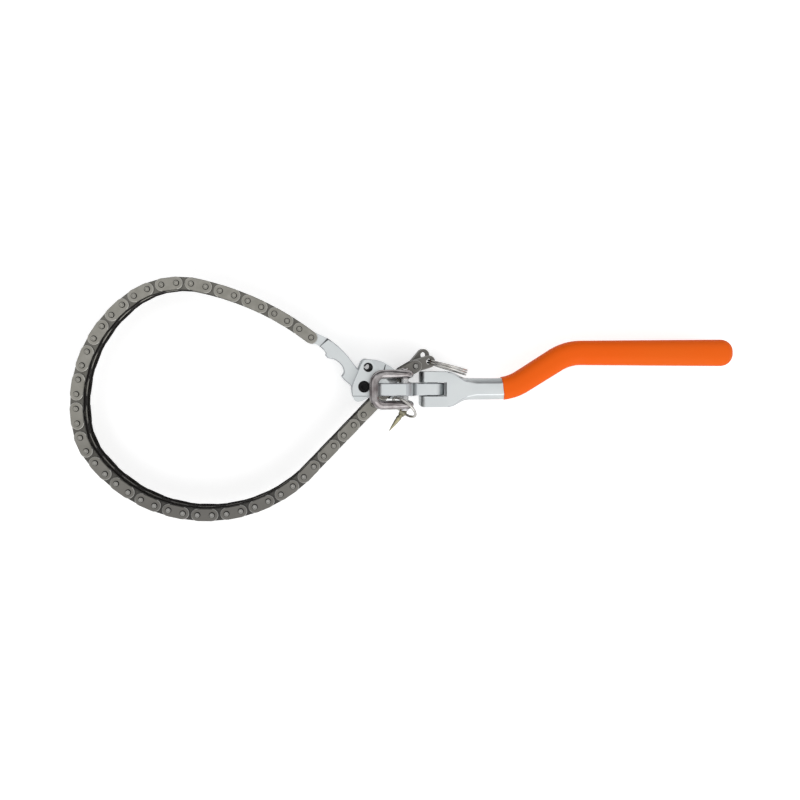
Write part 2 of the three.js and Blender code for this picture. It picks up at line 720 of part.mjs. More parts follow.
const tineLeft = hinge.x - TINE_RADIUS;
const tailSlope = radians(TAIL_HEADINGS[1]);
const tailUnderside = pins[blockPin].y + (tineLeft - pins[blockPin].x) * Math.tan(tailSlope)
  - plateRadius / Math.cos(tailSlope);
const forkHalf = tailUnderside - FORK_SIDE_CLEARANCE - hinge.y;
const slotEnd = hinge.x + KNUCKLE_RADIUS + SLOT_CLEARANCE;
const shoulderStart = slotEnd + SLOT_CLEARANCE;
const forkEnd = shoulderStart + SHOULDER_LENGTH;
const bendLength = BEND_RADIUS * radians(BEND_ANGLE);
const handleStart = new THREE.Vector2(forkEnd - NECK_BEVEL, hinge.y);
const handleRuns = [
  { length: NECK_RUN + NECK_BEVEL, turn: 0 },
  { length: bendLength, turn: radians(BEND_ANGLE) },
  { length: BEND_STRAIGHT, turn: 0 },
  { length: bendLength, turn: -radians(BEND_ANGLE) },
  { length: GRIP_LENGTH, turn: 0 },
];
const gripStart = NECK_RUN + NECK_BEVEL + GRIP_SETBACK;
const gripEnd = gripStart + GRIP_LENGTH;
const SHOULDER_SHARES = [[0, 1], [0.32, 0.62], [0.52, 0.2], [0.75, 0.04], [1, 0]];

// Lengths along a path where its bends need a section, between two places
function pathStations(runs, from, to) {
  const stations = [from];
  let length = 0;
  runs.forEach((run) => {
    const steps = run.turn === 0 ? 1 : BEND_STEPS;
    for (let i = 1; i <= steps; i += 1) {
      const at = length + (run.length * i) / steps;
      if (at > from + STATION_GAP && at < to - STATION_GAP) stations.push(at);
    }
    length += run.length;
  });
  stations.push(to);
  return stations;
}

function handleStations(from, to) {
  return pathStations(handleRuns, from, to);
}

// The fork, drawn as a plan and a side profile that are both true at once
function handleFork() {
  const shoulder = (side) => SHOULDER_SHARES.map(([along, out]) => [
    shoulderStart + along * SHOULDER_LENGTH,
    hinge.y + side * (NECK_WIDTH / 2 + out * (forkHalf - NECK_WIDTH / 2)),
  ]);
  const plan = outline([
    [tineLeft - OVERRUN, hinge.y - forkHalf], ...shoulder(-1), ...shoulder(1).reverse(),
    [tineLeft - OVERRUN, hinge.y + forkHalf],
  ]);
  const side = [];
  const reach = TINE_RADIUS - TINE_CORNER;
  const steps = ROUND_SIDES / 4;
  [1, -1].forEach((up, quarter) => {
    for (let i = 0; i <= steps; i += 1) {
      const angle = ((quarter + 1 + i / steps) * Math.PI) / 2;
      side.push([
        hinge.x - reach + TINE_CORNER * Math.cos(angle),
        up * reach + TINE_CORNER * Math.sin(angle),
      ]);
    }
  });
  side.push([shoulderStart, -TINE_RADIUS], [forkEnd, -NECK_THICKNESS / 2]);
  side.push([forkEnd, NECK_THICKNESS / 2], [shoulderStart, TINE_RADIUS]);
  const slotHalf = KNUCKLE_WIDTH / 2 + TINE_CLEARANCE;
  const slot = outline([
    [tineLeft - OVERRUN, hinge.y - slotHalf], [slotEnd, hinge.y - slotHalf],
    [slotEnd, hinge.y + slotHalf], [tineLeft - OVERRUN, hinge.y + slotHalf],
  ]);
  const deep = TINE_RADIUS + OVERRUN;
  return prism(plan, -deep, deep)
    .intersect(sidePrism(side, hinge.y - forkHalf - OVERRUN, hinge.y + forkHalf + OVERRUN))
    .subtract(prism(slot, -deep, deep));
}

function handleBar(stations) {
  return bar(handleStart, handleRuns, stations);
}

function handleForging() {
  const neck = bevelledSection(NECK_WIDTH, NECK_THICKNESS, NECK_BEVEL);
  const neckStations = handleStations(0, gripStart - RUNNING_FIT);
  const neckBar = handleBar(neckStations.map((length) => ({ length, section: neck })));
  const tang = tangSection(0);
  const tangStations = handleStations(gripStart - OVERRUN, gripEnd - GRIP_END_WALL - RUNNING_FIT);
  const tangBar = handleBar(tangStations.map((length) => ({ length, section: tang })));
  const holeHalf = forkHalf + OVERRUN;
  const hole = crossBore(hinge.x, 0, HINGE_PIN_DIA, hinge.y - holeHalf, hinge.y + holeHalf);
  return piece('handle_forging', join([handleFork(), neckBar, tangBar]).subtract(hole), FORGING_STEEL);
}

function tangSection(clearance) {
  const width = GRIP_START_WIDTH - 2 * GRIP_WALL + 2 * clearance;
  const thickness = GRIP_THICKNESS - 2 * GRIP_WALL + 2 * clearance;
  return bevelledSection(width, thickness, GRIP_WALL);
}

// The dipped grip: an oval tube round the tang, swelling to a rounded closed end
function gripSleeve() {
  const widthAt = (length) => {
    const share = Math.min(1, Math.max(0, (length - gripStart) / GRIP_LENGTH));
    return GRIP_START_WIDTH + (GRIP_END_WIDTH - GRIP_START_WIDTH) * share;
  };
  const roundStart = gripEnd - GRIP_END_ROUND;
  const stations = handleStations(gripStart, roundStart).map((length) => (
    { length, section: ovalSection(widthAt(length), GRIP_THICKNESS, GRIP_SIDES) }
  ));
  GRIP_END_SHARES.forEach((share) => {
    const fall = Math.sqrt(1 - share ** 2);
    const section = ovalSection(GRIP_END_WIDTH * fall, GRIP_THICKNESS * fall, GRIP_SIDES);
    stations.push({ length: roundStart + GRIP_END_ROUND * share, section });
  });
  const cavity = tangSection(RUNNING_FIT);
  const cavityStations = handleStations(gripStart - OVERRUN, gripEnd - GRIP_END_WALL)
    .map((length) => ({ length, section: cavity }));
  const solid = handleBar(stations).subtract(handleBar(cavityStations));
  return piece('handle_grip', solid, GRIP_VINYL);
}

function handleHingePin() {
  const rod = crossRod(hinge.x, 0, HINGE_PIN_DIA, hinge.y - forkHalf, hinge.y + forkHalf);
  return piece('handle_hinge_pin', rod, BLACK_OXIDE);
}

// Shackle, drawn about its pin with the bow towards minus X

const shackleSpacing = SHACKLE_GAP + SHACKLE_ROD_DIA;
const shackleHalf = shackleSpacing / 2 + SHACKLE_ROD_DIA / 2;
const shackleCentre = new THREE.Vector3(shackleReach, lugCentre, SHACKLE_PIN_HEIGHT);

function bowShackle() {
  const leg = { length: SHACKLE_LENGTH - SHACKLE_BEND, turn: 0 };
  const corner = { length: (SHACKLE_BEND * Math.PI) / 2, turn: Math.PI / 2 };
  const back = { length: shackleSpacing - 2 * SHACKLE_BEND, turn: 0 };
  const runs = [leg, corner, back, corner, leg];
  const total = runs.reduce((sum, run) => sum + run.length, 0);
  const section = circlePoints(SHACKLE_ROD_DIA, GRIP_SIDES);
  const stations = pathStations(runs, 0, total).map((length) => ({ length, section }));
  const rod = bar(new THREE.Vector2(0, -shackleSpacing / 2), runs, stations);
  const bent = rod.transform(new THREE.Matrix4().makeRotationZ(Math.PI).elements);
  const eyes = [-1, 1].map((side) => {
    const middle = (side * shackleSpacing) / 2;
    return crossRod(0, 0, EYE_DIA, middle - SHACKLE_ROD_DIA / 2, middle + SHACKLE_ROD_DIA / 2);
  });
  const hole = crossBore(0, 0, SHACKLE_PIN_DIA, -shackleHalf - OVERRUN, shackleHalf + OVERRUN);
  const mesh = piece('bow_shackle', join([bent, ...eyes]).subtract(hole), DARK_CHROME);
  mesh.position.copy(shackleCentre);
  mesh.rotation.y = radians(SHACKLE_ANGLE);
  return mesh;
}

function shacklePin() {
  const half = shackleHalf + SHACKLE_PIN_PROUD;
  const mesh = piece('shackle_pin', crossRod(0, 0, SHACKLE_PIN_DIA, -half, half), BRIGHT_WIRE);
  mesh.position.copy(shackleCentre);
  return mesh;
}

// Tether ring round the lower leg, with the spike hung on it

const tetherRadius = (TETHER_RING_DIA - TETHER_WIRE_DIA) / 2;
const tetherAlong = polar(1, TETHER_RING_HEADING);
const tetherAcross = polar(Math.cos(radians(TETHER_RING_ANGLE)), TETHER_RING_HEADING + 90);
const tetherSpan = tetherRadius * Math.hypot(tetherAlong.y, tetherAcross.y) + TETHER_WIRE_DIA / 2;
const tetherCentre = new THREE.Vector3(
  shackleReach + TETHER_SHIFT,
  bodyBottom - TETHER_HEAD_CLEARANCE - tetherSpan,
  SHACKLE_PIN_HEIGHT + TETHER_LIFT,
);

// A place on the tether ring's centreline, at an angle from its lowest end
function onTether(degrees) {
  const [c, s] = [Math.cos(radians(degrees)), Math.sin(radians(degrees))];
  const up = Math.sin(radians(TETHER_RING_ANGLE));
  return tetherCentre.clone().add(new THREE.Vector3(
    tetherRadius * (c * tetherAlong.x + s * tetherAcross.x),
    tetherRadius * (c * tetherAlong.y + s * tetherAcross.y),
    tetherRadius * s * up,
  ));
}

function tetherRing() {
  const torus = new THREE.TorusGeometry(tetherRadius, TETHER_WIRE_DIA / 2, WIRE_SIDES, RING_STEPS);
  const xAxis = new THREE.Vector3(tetherAlong.x, tetherAlong.y, 0);
  const yAxis = new THREE.Vector3(tetherAcross.x, tetherAcross.y, Math.sin(radians(TETHER_RING_ANGLE)));
  const mesh = piece('tether_ring', toSolid(torus), BRIGHT_WIRE);
  const basis = new THREE.Matrix4().makeBasis(xAxis, yAxis, xAxis.clone().cross(yAxis));
  mesh.quaternion.setFromRotationMatrix(basis);
  mesh.position.copy(tetherCentre);
  return mesh;
}

// A pointed spike whose collar is threaded on the tether ring
function tetherSpike() {
  const hang = onTether(SPIKE_ANGLE);
  const tangent = onTether(SPIKE_ANGLE + 1).sub(onTether(SPIKE_ANGLE - 1)).normalize();
  const heading = polar(1, SPIKE_HEADING);
  const pointing = new THREE.Vector3(heading.x, heading.y, 0);
  pointing.addScaledVector(tangent, -pointing.dot(tangent)).normalize();
  const radius = SPIKE_DIA / 2;
  const shaft = new THREE.LatheGeometry([
    new THREE.Vector2(0, 0),
    new THREE.Vector2(radius, 0),
    new THREE.Vector2(radius, SPIKE_LENGTH - SPIKE_TIP_LENGTH),
    new THREE.Vector2(0, SPIKE_LENGTH),
  ], 2 * WIRE_SIDES);
  const collar = disc(new THREE.Vector2(), COLLAR_DIA, -COLLAR_LENGTH / 2, COLLAR_LENGTH / 2);
  const eyeDiameter = TETHER_WIRE_DIA + SPIKE_EYE_CLEARANCE;
  const eye = bore(new THREE.Vector2(), eyeDiameter, -COLLAR_LENGTH, COLLAR_LENGTH);
  const solid = toSolid(shaft).add(collar).subtract(eye);
  const mesh = piece('tether_spike', solid, ZINC_YELLOW);
  mesh.position.copy(hang);
  const basis = new THREE.Matrix4().makeBasis(pointing.clone().cross(tangent), pointing, tangent);
  mesh.quaternion.setFromRotationMatrix(basis);
  return mesh;
}

// The two-turn pull ring through the front end block
function pullRing() {
  const radius = (PULL_RING_DIA - PULL_WIRE_DIA) / 2;
  const rise = PULL_WIRE_DIA + PULL_WIRE_GAP;
  class SpringRing extends THREE.Curve {
    getPoint(t, target = new THREE.Vector3()) {
      const angle = t * Math.PI * 2 * PULL_RING_TURNS;
      const height = rise * PULL_RING_TURNS * (t - 1 / 2);
      return target.set(radius * Math.cos(angle), radius * Math.sin(angle), height);
    }
  }
  const section = circlePoints(PULL_WIRE_DIA, WIRE_SIDES);
  const wire = sweep(section, new SpringRing(), PULL_RING_TURNS * RING_STEPS);
  const mesh = piece('pull_ring', toSolid(wire), BRIGHT_WIRE);
  const along = polar(1, PULL_RING_HEADING);
  const blockSag = blockHalf ** 2 / (2 * radius);
  const reach = radius - blockSag / 2;
  mesh.position.set(pins[endPin].x + along.x * reach, pins[endPin].y + along.y * reach, strandOffset);
  const normal = new THREE.Vector3(-along.y, along.x, 0);
  const basis = new THREE.Matrix4().makeBasis(
    new THREE.Vector3(along.x, along.y, 0),
    normal.clone().cross(new THREE.Vector3(along.x, along.y, 0)),
    normal,
  );
  mesh.quaternion.setFromRotationMatrix(basis);
  return mesh;
}

// The assembled wrench

// The origin: a place on the rear cheek's flat, beside the jaw pivot
const SEAT_SHARES = [0.7, 0.35];
const wrench = new THREE.Group();
wrench.position.set(-SEAT_SHARES[0] * throat, -SEAT_SHARES[1] * throat, cheekOutside);
wrench.add(
  headBody(), jawPivotPin(), stopRollPin(), jawArm(), ...chainRuns(), ...endBlocks(), pullRing(),
  handleForging(), gripSleeve(), handleHingePin(), bowShackle(), shacklePin(),
  tetherRing(), tetherSpike(),
);

export default wrench;
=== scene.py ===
"""A hand chain wrench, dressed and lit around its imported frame.

Sizes are in millimetres about the jaw pivot, halfway through the thickness of the head, until a
piece is set into the frame, which is in metres.
"""

import json
import logging
import math
from dataclasses import dataclass, field
from enum import Enum
from typing import Callable, Iterable, Sequence

import bmesh
import bpy
from mathutils import Matrix, Vector

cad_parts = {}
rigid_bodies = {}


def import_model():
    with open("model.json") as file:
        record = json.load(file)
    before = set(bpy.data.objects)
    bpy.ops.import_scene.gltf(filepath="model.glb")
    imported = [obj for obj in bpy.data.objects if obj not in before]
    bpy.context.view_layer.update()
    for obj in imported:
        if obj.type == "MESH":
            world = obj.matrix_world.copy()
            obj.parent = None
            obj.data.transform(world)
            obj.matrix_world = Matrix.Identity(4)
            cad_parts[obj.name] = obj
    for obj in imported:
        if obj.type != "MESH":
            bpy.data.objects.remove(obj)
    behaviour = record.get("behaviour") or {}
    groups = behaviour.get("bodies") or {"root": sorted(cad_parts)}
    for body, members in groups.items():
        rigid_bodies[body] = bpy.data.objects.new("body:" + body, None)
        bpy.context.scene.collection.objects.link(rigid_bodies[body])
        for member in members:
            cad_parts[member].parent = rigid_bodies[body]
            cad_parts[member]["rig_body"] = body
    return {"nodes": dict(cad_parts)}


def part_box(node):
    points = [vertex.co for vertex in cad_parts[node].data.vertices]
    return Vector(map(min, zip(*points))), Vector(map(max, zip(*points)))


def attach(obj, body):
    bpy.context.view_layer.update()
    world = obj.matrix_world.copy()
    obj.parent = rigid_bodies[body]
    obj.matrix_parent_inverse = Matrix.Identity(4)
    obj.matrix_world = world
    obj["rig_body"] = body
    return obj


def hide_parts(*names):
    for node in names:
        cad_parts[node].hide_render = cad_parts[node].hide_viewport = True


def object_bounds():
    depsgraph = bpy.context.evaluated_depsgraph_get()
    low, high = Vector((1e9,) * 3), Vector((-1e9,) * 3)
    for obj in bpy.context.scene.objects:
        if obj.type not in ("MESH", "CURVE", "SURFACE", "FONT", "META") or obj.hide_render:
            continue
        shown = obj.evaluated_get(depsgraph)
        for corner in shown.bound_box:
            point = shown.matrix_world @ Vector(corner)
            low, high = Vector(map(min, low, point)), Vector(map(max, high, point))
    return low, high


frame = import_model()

log = logging.getLogger("chain_wrench")

MM = 0.001
SMOOTH_ANGLE = math.radians(32)
FLAT_ANGLE = math.radians(0.4)
MERGE_REACH = 0.001
CAD_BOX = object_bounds()

Colour = tuple[float, float, float, float]
Place = tuple[float, float]
Span = tuple[float, float]
Triple = tuple[float, float, float]
OutlinePoint = tuple[float, float, bool]


class Cut(Enum):
    """How one solid acts on another."""

    JOIN = "UNION"
    REMOVE = "DIFFERENCE"
    KEEP = "INTERSECT"


class Strand(Enum):
    """The two strands of the chain, by the side of the mid-plane that they lie on."""

    REAR = -1
    FRONT = 1


class LinkKind(Enum):
    """The two kinds of link that take turns along a roller chain."""

    OUTER = 0
    INNER = 1


class ChainPiece(Enum):
    """The repeated pieces that the chain's links are made of."""

    OUTER_PLATE = "outer_plate"
    REAR_OUTER_PLATE = "rear_outer_plate"
    MIDDLE_PLATE = "middle_plate"
    INNER_PLATE = "inner_plate"
    REAR_INNER_PLATE = "rear_inner_plate"
    SHADED_PLATE = "shaded_plate"
    END_PLATE = "end_plate"
    ROLLER = "roller"
    END_ROLLER = "end_roller"
    PIN = "pin"


class FarBore(Enum):
    """What the far end of an inner link is bored for."""

    CHAIN_PIN = "chain_pin"
    PULL_RING = "pull_ring"


class Slot(Enum):
    """The slots that pieces and their faces take their finishes from."""

    FORGING_STEEL = "forging_steel"
    CHAIN_STEEL = "chain_steel"
    CHAIN_INNER = "chain_inner"
    CHAIN_SIDES = "chain_sides"
    CHAIN_RIMS = "chain_rims"
    CHAIN_SHADE = "chain_oil"
    CHAIN_PINS = "chain_pins"
    DARK_CHROME = "dark_chrome"
    BLACK_OXIDE = "black_oxide"
    BRIGHT_WIRE = "bright_wire"
    HIGHLIGHT_PIN = "polished_pin"
    ZINC_YELLOW = "zinc_yellow"
    GRIP_VINYL = "grip_vinyl"


# Shapes


def smooth_step(share: float) -> float:
    """Eases a share from 0 to 1 in and out."""
    return 3 * share**2 - 2 * share**3


def square_basis(x_axis: Triple, y_axis: Triple, z_axis: Triple, origin: Triple) -> Matrix:
    """A matrix that sets a solid into a place of its own.

    Args:
        x_axis: Where the solid's X points.
        y_axis: Where its Y points.
        z_axis: Where its Z points.
        origin: Where its origin lies.

    Returns:
        The matrix.
    """
    basis = Matrix.Identity(4)
    for i, axis in enumerate((x_axis, y_axis, z_axis)):
        basis.col[i] = (*axis, 0)
    basis.col[3] = (*origin, 1)
    return basis


def smooth_loop(points: Sequence[OutlinePoint], steps: int = 5) -> list[Place]:
    """Rounds a closed outline, apart from the corners that are marked.

    Args:
        points: x, y and whether the outline has a sharp corner there.
        steps: How many short sides take the place of each rounded one.

    Returns:
        The places of the rounded outline.
    """
    count = len(points)
    loop = []
    for i in range(count):
        before, start, end, after = (points[(i + k - 1) % count] for k in range(4))
        a, b = Vector(start[:2]), Vector(end[:2])
        run = b - a
        leave = run if start[2] else (b - Vector(before[:2])).normalized() * run.length
        arrive = run if end[2] else (Vector(after[:2]) - a).normalized() * run.length
        parts = 1 if start[2] and end[2] else steps
        for k in range(parts):
            t = k / parts
            place = (
                a * (2 * t**3 - 3 * t**2 + 1)
                + leave * (t**3 - 2 * t**2 + t)
                + b * smooth_step(t)
                + arrive * (t**3 - t**2)
            )
            loop.append((place.x, place.y))
    return loop


def arc(centre: Place, radius: float, start: float, end: float, steps: int) -> list[Place]:
    """Places along an arc.

    Args:
        centre: The middle of the arc.
        radius: Its radius.
        start: Where it starts, in degrees.
        end: Where it ends, in degrees.
        steps: How many short sides it has.

    Returns:
        steps + 1 places.
    """
    places = []
    for i in range(steps + 1):
        angle = math.radians(start + (end - start) * i / steps)
        places.append((centre[0] + radius * math.cos(angle), centre[1] + radius * math.sin(angle)))
    return places


def circle(centre: Place, diameter: float, sides: int = 48) -> list[Place]:
    """Places round a full circle."""
    return arc(centre, diameter / 2, 0, 360, sides)[:-1]


def bevel_rims(solid: bmesh.types.BMesh, edges: Iterable, width: float, segments: int) -> None:
    """Rounds some edges of a solid over.

    Args:
        solid: The solid.
        edges: The edges to round.
        width: Width of the rounding.
        segments: How many facets it has.
    """
    bmesh.ops.bevel(
        solid,
        geom=list(edges),
        offset=width,
        segments=segments,
        profile=0.5,
        affect="EDGES",
        clamp_overlap=True,
    )


def prism(
    points: Sequence[Place], low: float, high: float, bevel: float = 0.0, segments: int = 2
) -> bmesh.types.BMesh:
    """An upright solid on a closed outline.

    Args:
        points: The outline, anticlockwise.
        low: Height of its lower face.
        high: Height of its upper face.
        bevel: Width of the rounding round both faces.
        segments: How many facets that rounding has.

    Returns:
        The solid.
    """
    solid = bmesh.new()
    floor = [solid.verts.new((x, y, low)) for x, y in points]
    roof = [solid.verts.new((x, y, high)) for x, y in points]
    solid.faces.new(list(reversed(floor)))
    solid.faces.new(roof)
    for i, corner in enumerate(floor):
        j = (i + 1) % len(floor)
        solid.faces.new((corner, floor[j], roof[j], roof[i]))
    bmesh.ops.recalc_face_normals(solid, faces=solid.faces)
    if bevel:
        flat = [e for e in solid.edges if abs(e.verts[0].co.z - e.verts[1].co.z) < bevel / 100]
        bevel_rims(solid, flat, bevel, segments)
    return solid


def side_prism(
    points: Sequence[Place], near: float, far: float, bevel: float = 0.0, segments: int = 2
) -> bmesh.types.BMesh:
    """A solid on an outline drawn in x and z, from one y to another.

    Args:
        points: The outline.
        near: The y that it starts from.
        far: The y that it reaches.
        bevel: Width of the rounding round both faces.
        segments: How many facets that rounding has.

    Returns:
        The solid.
    """
    solid = prism(points, -far, -near, bevel, segments)
    solid.transform(Matrix.Rotation(math.pi / 2, 4, "X"))
    return solid


def turned(profile: Sequence[Place], sides: int) -> bmesh.types.BMesh:
    """A solid turned about Z.

    Args:
        profile: Radius and height of each place, from the lower end to the upper. A profile
            whose ends have no radius closes on the axis, and any other closes on itself.
        sides: How many sides the turned solid has.

    Returns:
        The solid.
    """
    solid = bmesh.new()
    rings = []
    for radius, height in profile:
        if radius == 0:
            rings.append([solid.verts.new((0, 0, height))] * sides)
            continue
        ring = circle((0, 0), 2 * radius, sides)
        rings.append([solid.verts.new((x, y, height)) for x, y in ring])
    hollow = profile[0][0] != 0
    pairs = list(zip(rings, rings[1:] + rings[:1] if hollow else rings[1:]))
    for lower, upper in pairs:
        for i in range(sides):
            j = (i + 1) % sides
            corners = list(dict.fromkeys((lower[i], lower[j], upper[j], upper[i])))
            if len(corners) > 2:
                solid.faces.new(corners)
    bmesh.ops.recalc_face_normals(solid, faces=solid.faces)
    return solid


def turned_evenly(upper: Sequence[Place], sides: int) -> bmesh.types.BMesh:
    """A solid turned about Z, whose lower half mirrors the upper."""
    return turned([(radius, -height) for radius, height in reversed(upper)] + list(upper), sides)


def skin(rings: Sequence[Sequence[Vector]], closed: bool = False) -> bmesh.types.BMesh:
    """A solid through rings of points.

    Args:
        rings: Rings with the same number of points, in order.
        closed: Whether the last ring joins the first. An open skin gets two end faces.

    Returns:
        The solid.
    """
    solid = bmesh.new()
    made = [[solid.verts.new(point) for point in ring] for ring in rings]
    count = len(made[0])
    for k in range(len(made) if closed else len(made) - 1):
        ring, following = made[k], made[(k + 1) % len(made)]
        for i in range(count):
            j = (i + 1) % count
            solid.faces.new((ring[i], ring[j], following[j], following[i]))
    if not closed:
        solid.faces.new(list(reversed(made[0])))
        solid.faces.new(made[-1])
    bmesh.ops.recalc_face_normals(solid, faces=solid.faces)
    return solid


def wire(path: Sequence[Vector], diameter: float, sides: int, closed: bool) -> bmesh.types.BMesh:
    """A round wire along a path.

    Args:
        path: Places along its middle.
        diameter: The wire's diameter.
        sides: Sides of its section.
        closed: Whether the path ends where it starts.

    Returns:
        The solid.
    """
    count = len(path)
    rings = []
    across = None
    for i, place in enumerate(path):
        before = path[i - 1] if closed or i else path[0]
        after = path[(i + 1) % count] if closed or i + 1 < count else path[-1]
        along = (after - before).normalized()
        if across is None:
            across = along.orthogonal().normalized()
        across = (across - along * across.dot(along)).normalized()
        up = along.cross(across)
        ring = circle((0, 0), diameter, sides)
        rings.append([place + across * u + up * v for u, v in ring])
    return skin(rings, closed)


def to_mesh(solid: bmesh.types.BMesh, name: str) -> bpy.types.Mesh:
    """Turns a working solid into a mesh and frees it.

    Args:
        solid: The solid, which can't be used afterwards.
        name: The mesh's name.

    Returns:
        The mesh.
    """
    mesh = bpy.data.meshes.new(name)
    solid.to_mesh(mesh)
    solid.free()
    return mesh


def gather(solids: Iterable[bmesh.types.BMesh]) -> bmesh.types.BMesh:
    """Puts several solids into one without cutting them.

    Args:
        solids: The solids, which can't be used afterwards.

    Returns:
        The one solid.
    """
    whole = bmesh.new()
    for solid in solids:
        mesh = to_mesh(solid, "gathered")
        whole.from_mesh(mesh)
        bpy.data.meshes.remove(mesh)
    return whole


def carve(
    blank: bmesh.types.BMesh, cuts: Sequence[tuple[Cut, bmesh.types.BMesh]]
) -> bmesh.types.BMesh:
    """Joins, removes and keeps solids in order.

    Args:
        blank: The solid to start from.
        cuts: What happens to it, and the solid that does it.

    Returns:
        The carved solid.
    """
    scene = bpy.context.scene.collection
    work = bpy.data.objects.new("blank", to_mesh(blank, "blank"))
    scene.objects.link(work)
    tools = []
    for cut, solid in cuts:
        tool = bpy.data.objects.new("tool", to_mesh(solid, "tool"))
        scene.objects.link(tool)
        tools.append(tool)
        modifier = work.modifiers.new("cut", "BOOLEAN")
        modifier.operation = cut.value
        modifier.solver = "EXACT"
        modifier.object = tool
    bpy.context.view_layer.update()
    graph = bpy.context.evaluated_depsgraph_get()
    mesh = bpy.data.meshes.new_from_object(work.evaluated_get(graph))
    result = bmesh.new()
    result.from_mesh(mesh)
    bpy.data.meshes.remove(mesh)
    for item in [work, *tools]:
        data = item.data
        bpy.data.objects.remove(item)
        bpy.data.meshes.remove(data)
    bmesh.ops.remove_doubles(result, verts=result.verts, dist=MERGE_REACH)
    bmesh.ops.dissolve_limit(
        result, angle_limit=FLAT_ANGLE, verts=result.verts, edges=result.edges
    )
    return result


def ease_edges(
    solid: bmesh.types.BMesh,
    width: float,
    segments: int,
    angle: float,
    wanted: Callable[[Vector], bool],
) -> None:
    """Rounds the hard edges of a solid over.

    Args:
        solid: The solid to ease.
        width: Width of the rounding.
        segments: How many facets it has.
        angle: Edges that turn by more than this many degrees are hard.
        wanted: Says from an edge's middle whether it is eased.
    """
    hard = []
    for edge in solid.edges:
        middle = (edge.verts[0].co + edge.verts[1].co) / 2
        if edge.is_manifold and edge.calc_face_angle(0) > math.radians(angle) and wanted(middle):
            hard.append(edge)
    bevel_rims(solid, hard, width, segments)


# Finishes


class NodeKit:
    """A node tree, and short ways to add to it."""

    def __init__(self, tree: bpy.types.NodeTree) -> None:
        """Starts from a tree that has its own nodes already."""
        self.tree = tree
        self.coordinates = tree.nodes.new("ShaderNodeTexCoord").outputs

    def node(self, kind: str, **settings: object) -> bpy.types.Node:
        """Adds a node of a kind, with its settings.

        Args:
            kind: The kind of node.
            settings: Its settings by name.

        Returns:
            The node.
        """
        made = self.tree.nodes.new(kind)
        for name, value in settings.items():
            setattr(made, name, value)
        return made

    def link(self, source: bpy.types.NodeSocket, target: bpy.types.NodeSocket) -> None:
        """Feeds one socket from another."""
        self.tree.links.new(source, target)

    def blend(
        self, amount: bpy.types.NodeSocket, first: object, second: object
    ) -> bpy.types.NodeSocket:
        """Mixes two colours, each a value or a socket.

        Args:
            amount: The share of the second colour.
            first: The first colour.
            second: The second colour.

        Returns:
            The mixed colour's socket.
        """
        made = self.node("ShaderNodeMix", data_type="RGBA")
        self.link(amount, made.inputs["Factor"])
        for name, value in (("A", first), ("B", second)):
            socket = next(s for s in made.inputs if s.name == name and s.type == "RGBA")
            if isinstance(value, bpy.types.NodeSocket):
                self.link(value, socket)
            else:
                socket.default_value = value
        return next(s for s in made.outputs if s.type == "RGBA")


class Recipe(NodeKit):
    """A material with one shader, and short ways to add patterns to it."""

    def __init__(self, name: str) -> None:
        """Starts the material.

        Args:
            name: The material's name.
        """
        self.material = bpy.data.materials.new(name)
        self.material.use_nodes = True
        super().__init__(self.material.node_tree)
        self.shader = self.tree.nodes["Principled BSDF"]
        self.place = self.coordinates["Object"]

    def stretched(self, scale: Triple) -> bpy.types.NodeSocket:
        """The object's own coordinates, scaled unevenly.

        Args:
            scale: The scale along X, Y and Z.

        Returns:
            The coordinates' socket.
        """
        mapping = self.node("ShaderNodeMapping")
        mapping.inputs["Scale"].default_value = scale
        self.link(self.place, mapping.inputs["Vector"])
        return mapping.outputs["Vector"]

    def noise(
        self, scale: float, detail: float = 4, place: bpy.types.NodeSocket | None = None
    ) -> bpy.types.NodeSocket:
        """A cloudy pattern, from 0 to 1.

        Args:
            scale: Clouds to a metre.
            detail: How many finer layers it has.
            place: Coordinates, if not the object's own.

        Returns:
            The pattern's socket.
        """
        made = self.node("ShaderNodeTexNoise")
        made.inputs["Scale"].default_value = scale
        made.inputs["Detail"].default_value = detail
        self.link(place or self.place, made.inputs["Vector"])
        return made.outputs["Fac"]

    def spread(
        self, source: bpy.types.NodeSocket, low: float, high: float,
        start: float = 0.3, end: float = 0.7,
    ) -> bpy.types.NodeSocket:
        """Maps a pattern's middle range to two values.

        Args:
            source: The pattern's socket.
            low: What the start of the range becomes.
            high: What the end of the range becomes.
            start: Where the range starts.
            end: Where the range ends.

        Returns:
            The mapped pattern's socket.
        """
        made = self.node("ShaderNodeMapRange", clamp=True)
        self.link(source, made.inputs["Value"])
        made.inputs["From Min"].default_value = start
        made.inputs["From Max"].default_value = end
        made.inputs["To Min"].default_value = low
        made.inputs["To Max"].default_value = high
        return made.outputs["Result"]

    def bump(self, height: bpy.types.NodeSocket, depth: float) -> None:
        """Raises the surface by a pattern, depth being in metres.

        Args:
            height: The pattern's socket.
            depth: How high it rises, in metres.
        """
        made = self.node("ShaderNodeBump")
        made.inputs["Strength"].default_value = 1.0
        made.inputs["Distance"].default_value = depth
        self.link(height, made.inputs["Height"])
        self.link(made.outputs["Normal"], self.shader.inputs["Normal"])


